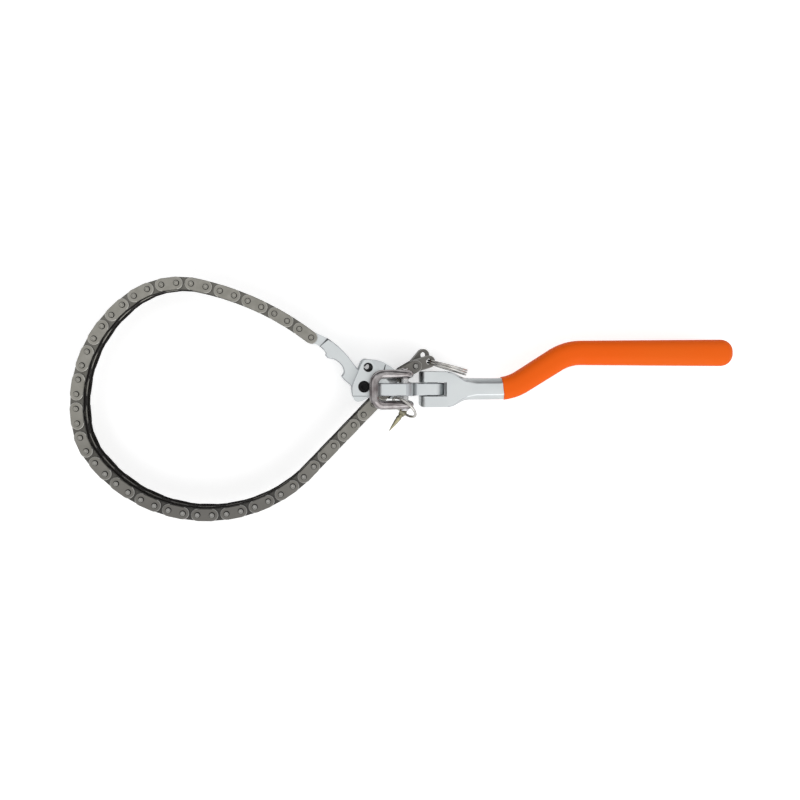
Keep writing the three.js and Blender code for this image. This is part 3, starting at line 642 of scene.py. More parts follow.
@dataclass(frozen=True)
class MetalFinish:
    """A metal with clouded colour, a bevel colour for wear and painted shade, and a fine grain.

    Scales are features to a metre, and depths and places are in metres. The gloss is how much
    light a face that isn't metallic mirrors. The painted shade of the chain's lower run fades
    out in Y from one place to another, up the loop, and sets in again in X along the chain's tail.
    """

    name: str
    use: Slot
    colour: Colour
    cloud_colour: Colour
    # The bevels' colour: lighter wear on the oxide pins, a darker painted shade on the forging.
    edge_wear_and_shade_colour: Colour
    metallic: float = 1.0
    gloss: float = 0.5
    roughness: Span = (0.3, 0.42)
    cloud_scale: float = 60.0
    grain_scale: float = 900.0
    grain_detail: float = 6.0
    grain_depth: float = 0.00001
    streaks: Triple = (1.0, 1.0, 1.0)
    # Near black colour that darkens the marked faces: painted shade.
    painted_shade_colour: Colour | None = None
    # Darker colour for the chain's lower run and tail: painted shade.
    lower_run_shade_colour: Colour | None = None
    lower_run_shade_from: float = -0.085
    lower_run_shade_to: float = -0.02
    tail_from: float = 0.012
    tail_to: float = 0.024

    def material(self) -> bpy.types.Material:
        """Builds the material.

        Returns:
            The material.
        """
        recipe = Recipe(self.name)
        clouds = recipe.spread(recipe.noise(self.cloud_scale), 0, 1)
        clouded = recipe.blend(clouds, self.colour, self.cloud_colour)
        # Painted shade: the chain darkens on its lower run and its tail, by place.
        if self.lower_run_shade_colour:
            clouded = recipe.blend(self.lower_run_shade_share(recipe), clouded, self.lower_run_shade_colour)
        # Bevels: lighter wear on the oxide pins, a darker painted shade on the satin forging.
        edge_mark = recipe.node("ShaderNodeAttribute", attribute_name="edge_wear_and_shade").outputs["Fac"]
        coloured = recipe.blend(edge_mark, clouded, self.edge_wear_and_shade_colour)
        # Painted shade on the faces marked as hollows, steps and notches.
        if self.painted_shade_colour:
            painted_shade = recipe.node("ShaderNodeAttribute", attribute_name="painted_shade").outputs["Fac"]
            coloured = recipe.blend(painted_shade, coloured, self.painted_shade_colour)
        recipe.link(coloured, recipe.shader.inputs["Base Color"])
        grain = recipe.noise(self.grain_scale, self.grain_detail, recipe.stretched(self.streaks))
        recipe.link(recipe.spread(grain, *self.roughness), recipe.shader.inputs["Roughness"])
        recipe.bump(grain, self.grain_depth)
        recipe.shader.inputs["Metallic"].default_value = self.metallic
        recipe.shader.inputs["Specular IOR Level"].default_value = self.gloss
        return recipe.material

    def lower_run_shade_share(self, recipe: Recipe) -> bpy.types.NodeSocket:
        """How much painted shade the chain takes: more on the lower run and the tail.

        Args:
            recipe: The material that it is for.

        Returns:
            The share's socket, from 0 to 1.
        """
        parts = recipe.node("ShaderNodeSeparateXYZ")
        recipe.link(recipe.place, parts.inputs["Vector"])
        lower = recipe.spread(parts.outputs["Y"], 1, 0, self.lower_run_shade_from, self.lower_run_shade_to)
        tail = recipe.spread(parts.outputs["X"], 0, 1, self.tail_from, self.tail_to)
        share = recipe.node("ShaderNodeMath", operation="MAXIMUM")
        recipe.link(lower, share.inputs[0])
        recipe.link(tail, share.inputs[1])
        return share.outputs[0]


@dataclass(frozen=True)
class DippedVinylFinish:
    """Soft orange vinyl, slightly uneven, with a faint skin of fine pits."""

    name: str = "orange_dipped_vinyl"
    use: Slot = Slot.GRIP_VINYL
    colour: Colour = (0.87, 0.114, 0.001, 1)
    pale_colour: Colour = (0.84, 0.124, 0.003, 1)
    roughness: Span = (0.46, 0.56)
    gloss: float = 0.14
    flow_scale: float = 22
    flow_streaks: Triple = (0.4, 1, 1)
    flow_range: Span = (0.4, 0.75)
    wave_scale: float = 90
    pit_scale: float = 2600
    pit_share: float = 0.25
    relief: float = 0.00006

    def material(self) -> bpy.types.Material:
        """Builds the material.

        Returns:
            The material.
        """
        recipe = Recipe(self.name)
        flow = recipe.noise(self.flow_scale, 3, recipe.stretched(self.flow_streaks))
        flow = recipe.spread(flow, 0, 1, *self.flow_range)
        coloured = recipe.blend(flow, self.colour, self.pale_colour)
        recipe.link(coloured, recipe.shader.inputs["Base Color"])
        pits = recipe.noise(self.pit_scale, 5)
        waves = recipe.noise(self.wave_scale, 2)
        recipe.link(recipe.spread(waves, *self.roughness), recipe.shader.inputs["Roughness"])
        height = recipe.node("ShaderNodeMath", operation="MULTIPLY_ADD")
        recipe.link(pits, height.inputs[0])
        height.inputs[1].default_value = self.pit_share
        recipe.link(waves, height.inputs[2])
        recipe.bump(height.outputs[0], self.relief)
        recipe.shader.inputs["Specular IOR Level"].default_value = self.gloss
        return recipe.material


class Finishes:
    """The wrench's finishes, each built once."""

    def __init__(self) -> None:
        """Builds every material."""
        plate_grain = {
            "roughness": (0.36, 0.5), "cloud_scale": 170, "grain_scale": 1500,
            "grain_depth": 0.00002,
        }
        kinds = [
            MetalFinish(
                "satin_chrome_forging", Slot.FORGING_STEEL,
                # The third colour is the bevels', darker than the face: painted shade on the
                # edges.
                (0.68, 0.71, 0.715, 1), (0.63, 0.66, 0.67, 1), (0.5, 0.52, 0.54, 1),
                roughness=(0.33, 0.43), cloud_scale=45, grain_scale=500, grain_depth=0.000008,
                # The near black colour for the forging's hollows, steps and notch: painted shade.
                streaks=(1, 2.5, 1), painted_shade_colour=(0.1, 0.1, 0.108, 1),
            ),
            # The chain finishes below darken on the lower run and the tail: painted shade.
            MetalFinish(
                "chain_steel_with_painted_shade", Slot.CHAIN_STEEL,
                (0.31, 0.3, 0.272, 1), (0.25, 0.243, 0.215, 1), (0.44, 0.43, 0.4, 1),
                lower_run_shade_colour=(0.16, 0.154, 0.143, 1), **plate_grain,
            ),
            # A darker copy of the chain steel for the inner plates: painted shade.
            MetalFinish(
                "shaded_inner_plates", Slot.CHAIN_INNER,
                (0.17, 0.165, 0.148, 1), (0.12, 0.116, 0.104, 1), (0.44, 0.43, 0.4, 1),
                lower_run_shade_colour=(0.068, 0.066, 0.062, 1), **plate_grain,
            ),
            # Near black plate sides: painted shade between the plates.
            MetalFinish(
                "painted_shade_plate_sides", Slot.CHAIN_SIDES,
                (0.026, 0.024, 0.022, 1), (0.016, 0.015, 0.014, 1), (0.2, 0.195, 0.18, 1),
                metallic=0.0, gloss=0.12, **plate_grain,
            ),
            # Paler rims at the plates' round ends: painted highlight.
            MetalFinish(
                "painted_highlight_plate_rims", Slot.CHAIN_RIMS,
                (0.56, 0.55, 0.51, 1), (0.44, 0.43, 0.4, 1), (0.44, 0.43, 0.4, 1),
                metallic=0.25, roughness=(0.3, 0.42), cloud_scale=300, grain_scale=1500,
                lower_run_shade_colour=(0.36, 0.355, 0.34, 1),
            ),
            # Near black rollers and pin shanks: painted shade inside the chain.
            MetalFinish(
                "painted_shade_black_chain", Slot.CHAIN_SHADE,
                (0.01, 0.0095, 0.009, 1), (0.004, 0.004, 0.004, 1), (0.1, 0.1, 0.1, 1),
                metallic=0.0, gloss=0.15, roughness=(0.45, 0.65), cloud_scale=350, grain_scale=900,
                grain_depth=0.00003,
            ),
            MetalFinish(
                "riveted_pin_ends", Slot.CHAIN_PINS,
                (0.36, 0.35, 0.315, 1), (0.26, 0.253, 0.23, 1), (0.5, 0.49, 0.46, 1),
                roughness=(0.3, 0.45), cloud_scale=500, grain_scale=1700, grain_depth=0.00002,
                lower_run_shade_colour=(0.33, 0.325, 0.31, 1),
            ),
            # Random dark clouds, made strong to stand for dark reflections in the chrome: partly
            # painted reflection.
            MetalFinish(
                "dark_chrome_rod", Slot.DARK_CHROME,
                (0.46, 0.44, 0.44, 1), (0.15, 0.125, 0.125, 1), (0.6, 0.58, 0.58, 1),
                roughness=(0.08, 0.18), cloud_scale=110, grain_scale=900, grain_depth=0.000006,
            ),
            MetalFinish(
                "black_oxide_pin", Slot.BLACK_OXIDE,
                (0.006, 0.0064, 0.007, 1), (0.01, 0.01, 0.011, 1), (0.05, 0.05, 0.052, 1),
                metallic=0.8, roughness=(0.35, 0.5), cloud_scale=300, grain_scale=1600,
            ),
            MetalFinish(
                "bright_ring_wire", Slot.BRIGHT_WIRE,
                (0.6, 0.59, 0.57, 1), (0.5, 0.48, 0.45, 1), (0.8, 0.8, 0.8, 1),
                roughness=(0.14, 0.26), cloud_scale=300, grain_scale=1200, grain_depth=0.000005,
            ),
            # The bright finish of the shackle pin's middle and its -Y end: painted highlight.
            MetalFinish(
                "polished_pin", Slot.HIGHLIGHT_PIN,
                (0.86, 0.86, 0.86, 1), (0.7, 0.7, 0.71, 1), (0.9, 0.9, 0.9, 1),
                metallic=0.55, roughness=(0.2, 0.32), cloud_scale=300, grain_scale=1200,
            ),
            MetalFinish(
                "yellow_zinc_spike", Slot.ZINC_YELLOW,
                (0.36, 0.325, 0.19, 1), (0.27, 0.262, 0.2, 1), (0.66, 0.6, 0.38, 1),
                roughness=(0.22, 0.36), cloud_scale=420, grain_scale=1200, grain_depth=0.000008,
            ),
            DippedVinylFinish(),
        ]
        self.by_use = {kind.use: kind.material() for kind in kinds}


# Setting pieces into the frame


@dataclass
class Workshop:
    """Sets finished solids into the frame, in place of the plain ones."""

    finishes: Finishes
    pivot: Vector
    shortest_rim: float = 0.2
    made: list[str] = field(default_factory=list)

    def box_centre(self, node: str) -> Vector:
        """The middle of a plain node, in millimetres about the jaw pivot."""
        low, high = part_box(node)
        return ((low + high) / 2 - self.pivot) / MM

    def mark_bevel_edges(self, mesh: bpy.types.Mesh, width: float) -> None:
        """Marks the narrow faces that lie between broad ones, which take the bevel colour.

        Args:
            mesh: The mesh, in millimetres.
            width: Breadth under which a face counts as a bevel.
        """
        # Bevel faces: lighter wear on the oxide pins, a darker painted shade on the forging.
        amount = mesh.attributes.new("edge_wear_and_shade", "FLOAT", "FACE")
        values = []
        for polygon in mesh.polygons:
            corners = [mesh.vertices[i].co for i in polygon.vertices]
            sides = [(corners[i] - corners[i - 1]).length for i in range(len(corners))]
            breadth = 2 * polygon.area / max(sum(sides), 1e-9)
            narrow = breadth < width and max(sides) > self.shortest_rim
            values.append(float(len(corners) == 4 and narrow))
        amount.data.foreach_set("value", values)

    def mark_painted_shade(self, mesh: bpy.types.Mesh, painted_shade: Callable[[Vector, Vector], float]) -> None:
        """Marks each face's painted shade, from its middle and the way that it faces.

        Args:
            mesh: The mesh, in millimetres.
            painted_shade: Gives the painted shade from a face's middle and its normal.
        """
        amount = mesh.attributes.new("painted_shade", "FLOAT", "FACE")
        values = [painted_shade(polygon.center.copy(), polygon.normal.copy()) for polygon in mesh.polygons]
        amount.data.foreach_set("value", values)

    def set_piece(
        self, node: str, solid: bmesh.types.BMesh, slot: Slot, edge_mark: float = 0.0,
        finishes: Sequence[Slot] = (), painted_shade: Callable[[Vector, Vector], float] | None = None,
    ) -> None:
        """Sets a solid into the frame in place of a plain node.

        Args:
            node: The plain node that it stands for.
            solid: The solid, in millimetres about the jaw pivot.
            slot: The slot that it takes its finish from.
            edge_mark: Breadth under which a bevel's faces take the finish's bevel colour.
            finishes: The finishes of its faces, where they aren't the slot's.
            painted_shade: Gives a face's painted shade, from 0 to 1, from its middle and its
                normal.
        """
        mesh = to_mesh(solid, f"{node}_fine")
        if edge_mark:
            self.mark_bevel_edges(mesh, edge_mark)
        if painted_shade:
            self.mark_painted_shade(mesh, painted_shade)
        mesh.transform(Matrix.Translation(self.pivot) @ Matrix.Scale(MM, 4))
        mesh.polygons.foreach_set("use_smooth", [True] * len(mesh.polygons))
        mesh.set_sharp_from_angle(angle=SMOOTH_ANGLE)
        for finish in finishes or (slot,):
            mesh.materials.append(self.finishes.by_use[finish])
        piece = bpy.data.objects.new(f"{node}_fine", mesh)
        bpy.context.scene.collection.objects.link(piece)
        flat = piece.modifiers.new("flat_faces", "WEIGHTED_NORMAL")
        flat.keep_sharp = True
        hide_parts(node)
        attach(piece, frame["nodes"][node]["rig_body"])
        self.made.append(node)
        log.info("made %s: %d faces", piece.name, len(mesh.polygons))


# The chain


@dataclass(frozen=True)
class ChainRoute:
    """Where the chain's pins lie, link by link."""

    pitch: float = 9.525
    start_heading: float = 144
    teeth_heading: float = 406
    stretches: tuple[tuple[int, float], ...] = (
        (8, 0.09), (5, 0.19), (10, 0.24), (2, 0.095), (17, 0.385),
    )
    straight_links: int = 10
    tail_headings: tuple[float, float] = (390, 378)
    swing_link: int = 25
    return_link: int = 30

    def headings(self) -> list[float]:
        """The heading of each link, in degrees.

        Returns:
            The headings, from the jaw to the end block.
        """
        headings = []
        heading = self.start_heading
        for links, share in self.stretches:
            for _ in range(links):
                headings.append(heading)
                heading += (self.teeth_heading - self.start_heading) * share / links
        return headings + [self.teeth_heading] * self.straight_links + list(self.tail_headings)

    def pins(self) -> list[Vector]:
        """The centre of each pin, in plan about the jaw pivot.

        Returns:
            The pins' centres, one more than there are links.
        """
        pins = [Vector((0, 0, 0))]
        for heading in self.headings():
            turn = math.radians(heading)
            pins.append(pins[-1] + Vector((math.cos(turn), math.sin(turn), 0)) * self.pitch)
        start = pins[self.swing_link] - pins[self.return_link]
        return [pin + start for pin in pins]

    def throat(self) -> float:
        """The distance from the jaw pivot to the line of pins along the teeth.

        Returns:
            The distance, in millimetres.
        """
        turn = math.radians(self.teeth_heading)
        pin = self.pins()[-3]
        return pin.x * math.sin(turn) - pin.y * math.cos(turn)


@dataclass
class DuplexChain:
    """The two-strand roller chain: plates, rollers and riveted pins."""

    workshop: Workshop
    route: ChainRoute
    plate_end_gap: float = 1.265
    roller_diameter: float = 6.35
    pin_diameter: float = 3.28
    head_diameter: float = 3.9
    head_height: float = 1.2
    roller_length: float = 5.72
    inner_plate: float = 1.3
    middle_plate: float = 1.3
    outer_plate: float = 1.1
    clearance: float = 0.3
    pin_clearance: float = 0.2
    ring_bore: float = 3.95
    rear_block_lift: float = 32
    plate_bevel: float = 0.4
    roller_step: float = 0.35
    roller_ease: float = 0.3
    rivet: tuple[Place, ...] = ((0, 1.05), (0.36, 0.14), (0.55, 0), (0.95, 0), (1.15, 0.22))
    dimple_depth: float = 0.34
    turned_sides: int = 28
    bore_sides: int = 24
    end_steps: int = 24
    flat_share: float = 0.9
    rim_share: float = 0.45
    round_end: float = 0.1
    uses: tuple[Slot, ...] = (
        Slot.CHAIN_STEEL, Slot.CHAIN_INNER, Slot.CHAIN_SIDES,
        Slot.CHAIN_RIMS, Slot.CHAIN_SHADE, Slot.CHAIN_PINS,
    )
    templates: dict[ChainPiece, bpy.types.Mesh] = field(default_factory=dict)

    @property
    def pin_bore(self) -> float:
        """The bore that a pin turns in."""
        return self.pin_diameter + 2 * self.pin_clearance

    @property
    def strand_offset(self) -> float:
        """How far a strand's middle lies from the mid-plane."""
        return self.middle_plate / 2 + self.clearance + self.inner_plate + self.roller_length / 2

    @property
    def outer_inside(self) -> float:
        """The inner face of an outer plate."""
        return self.strand_offset + self.roller_length / 2 + self.inner_plate + self.clearance

    @property
    def half_width(self) -> float:
        """Half of the chain's width over its pin heads."""
        return self.outer_inside + self.outer_plate + self.head_height

    def plate_outline(self) -> list[Place]:
        """The outline of a link plate from its first pin: two round ends and straight sides.

        Returns:
            The places of the outline.
        """
        radius = (self.route.pitch - self.plate_end_gap) / 2
        far = arc((self.route.pitch, 0), radius, -90, 90, self.end_steps)
        return far + arc((0, 0), radius, 90, 270, self.end_steps)

    def plate(self, thickness: float) -> bmesh.types.BMesh:
        """A plate with chamfered rims, standing on the mid-plane."""
        return prism(self.plate_outline(), 0, thickness, self.plate_bevel, segments=1)

    def bored_plate(self, far_bore: float) -> bmesh.types.BMesh:
        """An inner plate with a hole at each end.

        Args:
            far_bore: The bore of its far hole.

        Returns:
            The solid.
        """
        deep = self.inner_plate
        holes = []
        for along, bore in ((0, self.pin_bore), (self.route.pitch, far_bore)):
            hole = prism(circle((along, 0), bore, self.bore_sides), -deep, 2 * deep)
            holes.append((Cut.REMOVE, hole))
        return carve(self.plate(self.inner_plate), holes)

    def roller(self, bore: float) -> bmesh.types.BMesh:
        """A roller on its bush: a tube with eased rims and a step at each end.

        Args:
            bore: The bore of its bush.

        Returns:
            The solid.
        """
        radius, half = self.roller_diameter / 2, self.roller_length / 2
        bush, shoulder = radius - 2 * self.roller_step, half - self.roller_step / 2
        upper = [
            (radius, shoulder - self.roller_ease), (radius - self.roller_ease, shoulder),
            (bush, shoulder), (bush, half), (bore / 2, half),
        ]
        return turned_evenly(upper, self.turned_sides)

    def riveted_pin(self) -> bmesh.types.BMesh:
        """A pin through both strands, its ends riveted over with a dimple in each.

        Returns:
            The solid.
        """
        shank, head = self.pin_diameter / 2, self.head_diameter / 2
        seat, top = self.outer_inside + self.outer_plate / 2, self.half_width
        upper = [(shank, seat), (head, seat)]
        upper += [(head - inset, top - drop) for inset, drop in self.rivet]
        upper.append((0, top - self.dimple_depth))
        return turned_evenly(upper, self.turned_sides)

    def prepare(self) -> None:
        """Makes one mesh of each repeated piece."""
        solids = {
            ChainPiece.OUTER_PLATE: self.plate(self.outer_plate),
            ChainPiece.REAR_OUTER_PLATE: self.plate(self.outer_plate),
            ChainPiece.MIDDLE_PLATE: self.plate(self.middle_plate),
            ChainPiece.INNER_PLATE: self.bored_plate(self.pin_bore),
            ChainPiece.REAR_INNER_PLATE: self.bored_plate(self.pin_bore),
            ChainPiece.SHADED_PLATE: self.bored_plate(self.pin_bore),
            ChainPiece.END_PLATE: self.bored_plate(self.ring_bore),
            ChainPiece.ROLLER: self.roller(self.pin_bore),
            ChainPiece.END_ROLLER: self.roller(self.ring_bore),
            ChainPiece.PIN: self.riveted_pin(),
        }
        for piece, solid in solids.items():
            self.dress(piece, solid)
            self.templates[piece] = to_mesh(solid, piece.value)

    def dress(self, piece: ChainPiece, solid: bmesh.types.BMesh) -> None:
        """Says which faces of a repeated piece are steel, painted highlight or painted shade.

        An outer plate takes the painted highlight at its round ends alone. The upward faces
        of the rear plates lie in the chain's own shade and take the painted shade of its sides.

        Args:
            piece: Which repeated piece it is.
            solid: Its solid, whose faces are marked.
        """
        outer_looks = (Slot.CHAIN_STEEL, Slot.CHAIN_RIMS, Slot.CHAIN_SIDES)
        inner_looks = (Slot.CHAIN_INNER, Slot.CHAIN_INNER, Slot.CHAIN_SIDES)
        faces, rims, sides = {
            ChainPiece.OUTER_PLATE: outer_looks,
            ChainPiece.REAR_OUTER_PLATE: outer_looks,
            ChainPiece.MIDDLE_PLATE: (Slot.CHAIN_INNER, Slot.CHAIN_STEEL, Slot.CHAIN_STEEL),
            ChainPiece.INNER_PLATE: inner_looks,
            ChainPiece.REAR_INNER_PLATE: inner_looks,
            ChainPiece.SHADED_PLATE: (Slot.CHAIN_SIDES,) * 3,
            ChainPiece.END_PLATE: (Slot.CHAIN_STEEL, Slot.CHAIN_RIMS, Slot.CHAIN_INNER),
            ChainPiece.PIN: (Slot.CHAIN_PINS, Slot.CHAIN_PINS, Slot.CHAIN_SHADE),
        }.get(piece, (Slot.CHAIN_SHADE,) * 3)
        outer = piece in (ChainPiece.OUTER_PLATE, ChainPiece.REAR_OUTER_PLATE)
        rear = piece in (ChainPiece.REAR_OUTER_PLATE, ChainPiece.REAR_INNER_PLATE)
        for face in solid.faces:
            upright, along = abs(face.normal.z), face.calc_center_median().x
            straight = outer and self.round_end < along < self.route.pitch - self.round_end
            use = sides
            if upright > self.rim_share:
                use = faces if upright > self.flat_share or straight else rims
            if rear and face.normal.z > self.rim_share:
                use = sides
            face.material_index = self.uses.index(use)

    def add(self, solid: bmesh.types.BMesh, piece: ChainPiece, matrix: Matrix) -> None:
        """Adds a copy of a repeated piece to a solid.

        Args:
            solid: What it is added to.
            piece: Which repeated piece it is.
            matrix: Where the copy lies.
        """
        mesh = self.templates[piece].copy()
        mesh.transform(matrix)
        solid.from_mesh(mesh)
        bpy.data.meshes.remove(mesh)

    def add_outer_link(self, solid: bmesh.types.BMesh, link: Matrix) -> None:
        """Adds an outer link: two outer plates, the middle plate and two pins.

        Args:
            solid: What it is added to.
            link: Where its first pin lies.
        """
        for piece, height in (
            (ChainPiece.OUTER_PLATE, self.outer_inside),
            (ChainPiece.REAR_OUTER_PLATE, -self.outer_inside - self.outer_plate),
            (ChainPiece.MIDDLE_PLATE, -self.middle_plate / 2),
        ):
            self.add(solid, piece, link @ Matrix.Translation((0, 0, height)))
        for along in (0, self.route.pitch):
            self.add(solid, ChainPiece.PIN, link @ Matrix.Translation((along, 0, 0)))

    def add_inner_link(
        self, solid: bmesh.types.BMesh, link: Matrix, strand: Strand,
        far_bore: FarBore = FarBore.CHAIN_PIN,
    ) -> None:
        """Adds one strand's inner link: two plates and two rollers.

        Args:
            solid: What it is added to.
            link: Where its first pin lies.
            strand: Which strand it is part of.
            far_bore: What its far end is bored for.
        """
        outermost, innermost = ChainPiece.INNER_PLATE, ChainPiece.SHADED_PLATE
        far_roller = ChainPiece.ROLLER
        if strand is Strand.REAR:
            outermost = ChainPiece.REAR_INNER_PLATE
        if far_bore is FarBore.PULL_RING:
            outermost = innermost = ChainPiece.END_PLATE
            far_roller = ChainPiece.END_ROLLER
        middle = strand.value * self.strand_offset
        low = middle - self.roller_length / 2 - self.inner_plate
        for side, height in ((-1, low), (1, middle + self.roller_length / 2)):
            plate = outermost if side == strand.value else innermost
            self.add(solid, plate, link @ Matrix.Translation((0, 0, height)))
        self.add(solid, ChainPiece.ROLLER, link @ Matrix.Translation((0, 0, middle)))
        self.add(solid, far_roller, link @ Matrix.Translation((self.route.pitch, 0, middle)))

    def link_matrix(self, first: int, lift: float = 0.0) -> Matrix:
        """Where a link lies, from its first pin and heading."""
        turn = math.radians(self.route.headings()[first] + lift)
        return Matrix.Translation(self.route.pins()[first]) @ Matrix.Rotation(turn, 4, "Z")

    def build(self) -> None:
        """Builds every run of links and both end blocks."""
        self.prepare()
        for node in sorted(name for name in frame["nodes"] if name.startswith("chain_links_")):
            start, end = (int(part) for part in node.split("_")[2:])
            solid = bmesh.new()
            for first in range(start - 1, end):
                link = self.link_matrix(first)
                if LinkKind(first % 2) is LinkKind.OUTER:
                    self.add_outer_link(solid, link)
                    continue
                for strand in Strand:
                    self.add_inner_link(solid, link, strand)
            self.workshop.set_piece(node, solid, Slot.CHAIN_STEEL, finishes=self.uses)
        last = len(self.route.headings()) - 1
        for node, strand, lift in (
            ("chain_end_block_front", Strand.FRONT, 0.0),
            ("chain_end_block_rear", Strand.REAR, self.rear_block_lift),
        ):
            solid = bmesh.new()
            block = self.link_matrix(last, lift)
            self.add_inner_link(solid, block, strand, FarBore.PULL_RING)
            self.workshop.set_piece(node, solid, Slot.CHAIN_STEEL, finishes=self.uses)
        for mesh in self.templates.values():
            bpy.data.meshes.remove(mesh)


# The head, its pins and the jaw arm


@dataclass
class Head:
    """The forged head: two cheeks on a web, with a toothed face, a knuckle and a shackle lug."""

    workshop: Workshop
    route: ChainRoute
    chain_half: float
    strand_offset: float
    cheek_thickness: float = 7.0
    cheek_clearance: float = 0.5
    jaw_pin: float = 7.5
    jaw_pin_recess: float = 1.2
    jaw_pin_ease: Place = (0.4, 0.5)
    socket_share: float = 0.52
    socket_mouth: Place = (0.3, 0.35)
    socket_depths: Span = (1.6, 2.2)
    roll_pin: float = 5.9
    roll_pin_bore: float = 4.1
    roll_pin_slit: float = 1.2
    roll_pin_proud: float = 0.4
    roll_pin_shares: Place = (0.205, 0.96)
    facet_shares: tuple[Place, Place] = ((0.34, 1.3), (1.16, 0.32))
    facet_depth: float = 5.3
    facet_run: float = 8.0
    facet_reach: float = 1.4
    foot_shares: tuple[Place, Place] = ((0.6, -0.455), (-0.6, -0.445))
    foot_slope: float = 1.2
    foot_run: float = 0.6
    web_gap: float = 4.63
    web_drop: float = 2.4
    tooth_width: float = 2.375
    tooth_tip: float = 1.59
    tooth_length: float = 4.92
    running_fit: float = 0.3
    knuckle_radius: float = 8.1
    knuckle_width: float = 8.2
    hinge_pin: float = 7.0
    shackle_pin: float = 5.0
    lug_wall: float = 1.9
    root_run: float = 4.6
    ridge_shares: Place = (0.24, 0.98)
    notch: tuple[Place, Place] = ((14.4, 15.0), (13.2, 11.0))
    notch_width: float = 0.95
    notch_floor: float = 15.6
    cheek_round: float = 0.55
    tooth_round: float = 0.2
    knuckle_round: float = 0.6
    knuckle_steps: int = 28
    root_round: float = 0.4
    ridge_round: float = 0.7
    arm_play: float = 0.9
    overrun: float = 1.0
    root_curve: float = 2.4
    # Painted shade in the knuckle's hollow roots, on the foot step and in the notch.
    root_painted_shade: float = 0.85
    root_margin: float = 0.02
    root_fade: Place = (1.3, 0.7)
    foot_painted_shade: float = 0.55
    foot_end: float = 8.5
    foot_band: Place = (0.5, 0.9)
    foot_facing: float = 0.3
    notch_painted_shade: float = 0.97
    notch_band: Place = (0.6, 0.3)
    floor_band: float = 0.1
    pin_sides: int = 40
    roll_pin_ease: float = 0.35
    teeth_back: Span = (1.5, 0.5)
    body_shares: Triple = (2.4, 0.17, -0.46)
    outline_shares: tuple[OutlinePoint, ...] = (
        (-0.586, -0.31, False), (-0.52, -0.6, False), (-0.39, -0.74, False), (-0.15, -0.74, False),
        (0.0, -0.67, False), (0.22, -0.51, False), (0.26, -0.47, True), (2.4, -0.46, True),
        (2.4, 0.17, True), (1.74, 0.19, True), (1.575, 0.46, False), (1.565, 0.75, False),
        (1.44, 0.93, False), (1.23, 1.07, False), (0.97, 1.22, False), (0.73, 1.3, False),
        (0.37, 1.33, False), (0.09, 1.37, False), (-0.03, 1.3, False), (-0.12, 1.18, False),
        (-0.27, 0.81, False), (-0.43, 0.43, False), (-0.586, 0.02, False),
    )

    def __post_init__(self) -> None:
        """Works out the places that the sizes and the frame give."""
        self.throat = self.route.throat()
        self.inside = self.chain_half + self.cheek_clearance
        self.outside = self.inside + self.cheek_thickness
        self.arm_half = self.inside - self.arm_play
        self.right, self.top, self.bottom = (share * self.throat for share in self.body_shares)
        self.hinge = self.workshop.box_centre("handle_hinge_pin")
        self.shackle = self.workshop.box_centre("shackle_pin")
        self.stop = tuple(share * self.throat for share in self.roll_pin_shares)

    def cheek(self, low: float, high: float) -> bmesh.types.BMesh:
        """One cheek with rounded rims."""
        scaled = [(x * self.throat, y * self.throat, sharp) for x, y, sharp in self.outline_shares]
        return prism(smooth_loop(scaled), low, high, self.cheek_round, segments=3)

    def web(self) -> bmesh.types.BMesh:
        """The web between the cheeks, behind the chain.

        Returns:
            The solid.
        """
        turn = math.radians(self.route.teeth_heading)
        face = self.throat + self.web_gap

        def along(y: float) -> float:
            """Where the web's sloping face lies at a height in plan."""
            return (face + y * math.cos(turn)) / math.sin(turn)

        foot = self.bottom - self.web_drop
        points = [
            (along(foot), foot), (along(foot) + self.web_drop, foot), (self.right, self.bottom),
            (self.right, self.top), (along(self.top), self.top),
        ]
        return prism(points, -self.inside - self.overrun, self.inside + self.overrun)

    def teeth(self) -> list[bmesh.types.BMesh]:
        """The teeth that stand between the rollers of both strands.

        Returns:
            A tooth for each strand and gap between rollers.
        """
        turn = math.radians(self.route.teeth_heading)
        run = Vector((math.cos(turn), math.sin(turn)))
        out = Vector((run.y, -run.x))
        last = self.route.pins()[-3].to_2d()
        solids = []
        for back in self.teeth_back:
            middle = last - run * self.route.pitch * back
            half = self.tooth_width / 2
            places = [(-half, self.web_gap + 1), (half, self.web_gap + 1)]
            places += [(half / 2, self.tooth_tip), (-half / 2, self.tooth_tip)]
            corners = [middle + run * a + out * b for a, b in places]
            for strand in Strand:
                centre = strand.value * self.strand_offset
                reach = self.tooth_length / 2
                points = [(corner.x, corner.y) for corner in reversed(corners)]
                low, high = centre - reach, centre + reach
                solids.append(prism(points, low, high, self.tooth_round, segments=1))
        return solids

    def knuckle(self) -> bmesh.types.BMesh:
        """The knuckle that the handle folds on.

        Returns:
            The solid.
        """
        radius, back = self.knuckle_radius, self.right - self.overrun
        nose = arc((self.hinge.x, 0), radius, -90, 90, self.knuckle_steps)
        profile = [(back, -radius), *nose, (back, radius)]
        half = self.knuckle_width / 2
        near, far = self.hinge.y - half, self.hinge.y + half
        return side_prism(profile, near, far, self.knuckle_round, segments=3)

    def knuckle_root(self) -> bmesh.types.BMesh:
        """The hollow fillet where the knuckle leaves the thick body, front and rear.

        Returns:
            Both fillets in one solid.
        """
        radius, step = self.knuckle_radius, self.outside - self.knuckle_radius
        curve = []
        steps = 16
        for i in range(steps + 1):
            t = i / steps
            rise = step * (1 - t) ** self.root_curve
            curve.append((self.right + self.root_run * t, radius + rise))
        back = self.right - self.overrun
        upper = [
            (back, radius - 1), (self.right + self.root_run, radius - 1), *reversed(curve),
            (back, self.outside),
        ]
        lower = [(x, -z) for x, z in reversed(upper)]
        half = self.knuckle_width / 2
        near, far = self.hinge.y - half, self.hinge.y + half
        outlines = (upper, lower)
        return gather(side_prism(outline, near, far, self.root_round) for outline in outlines)

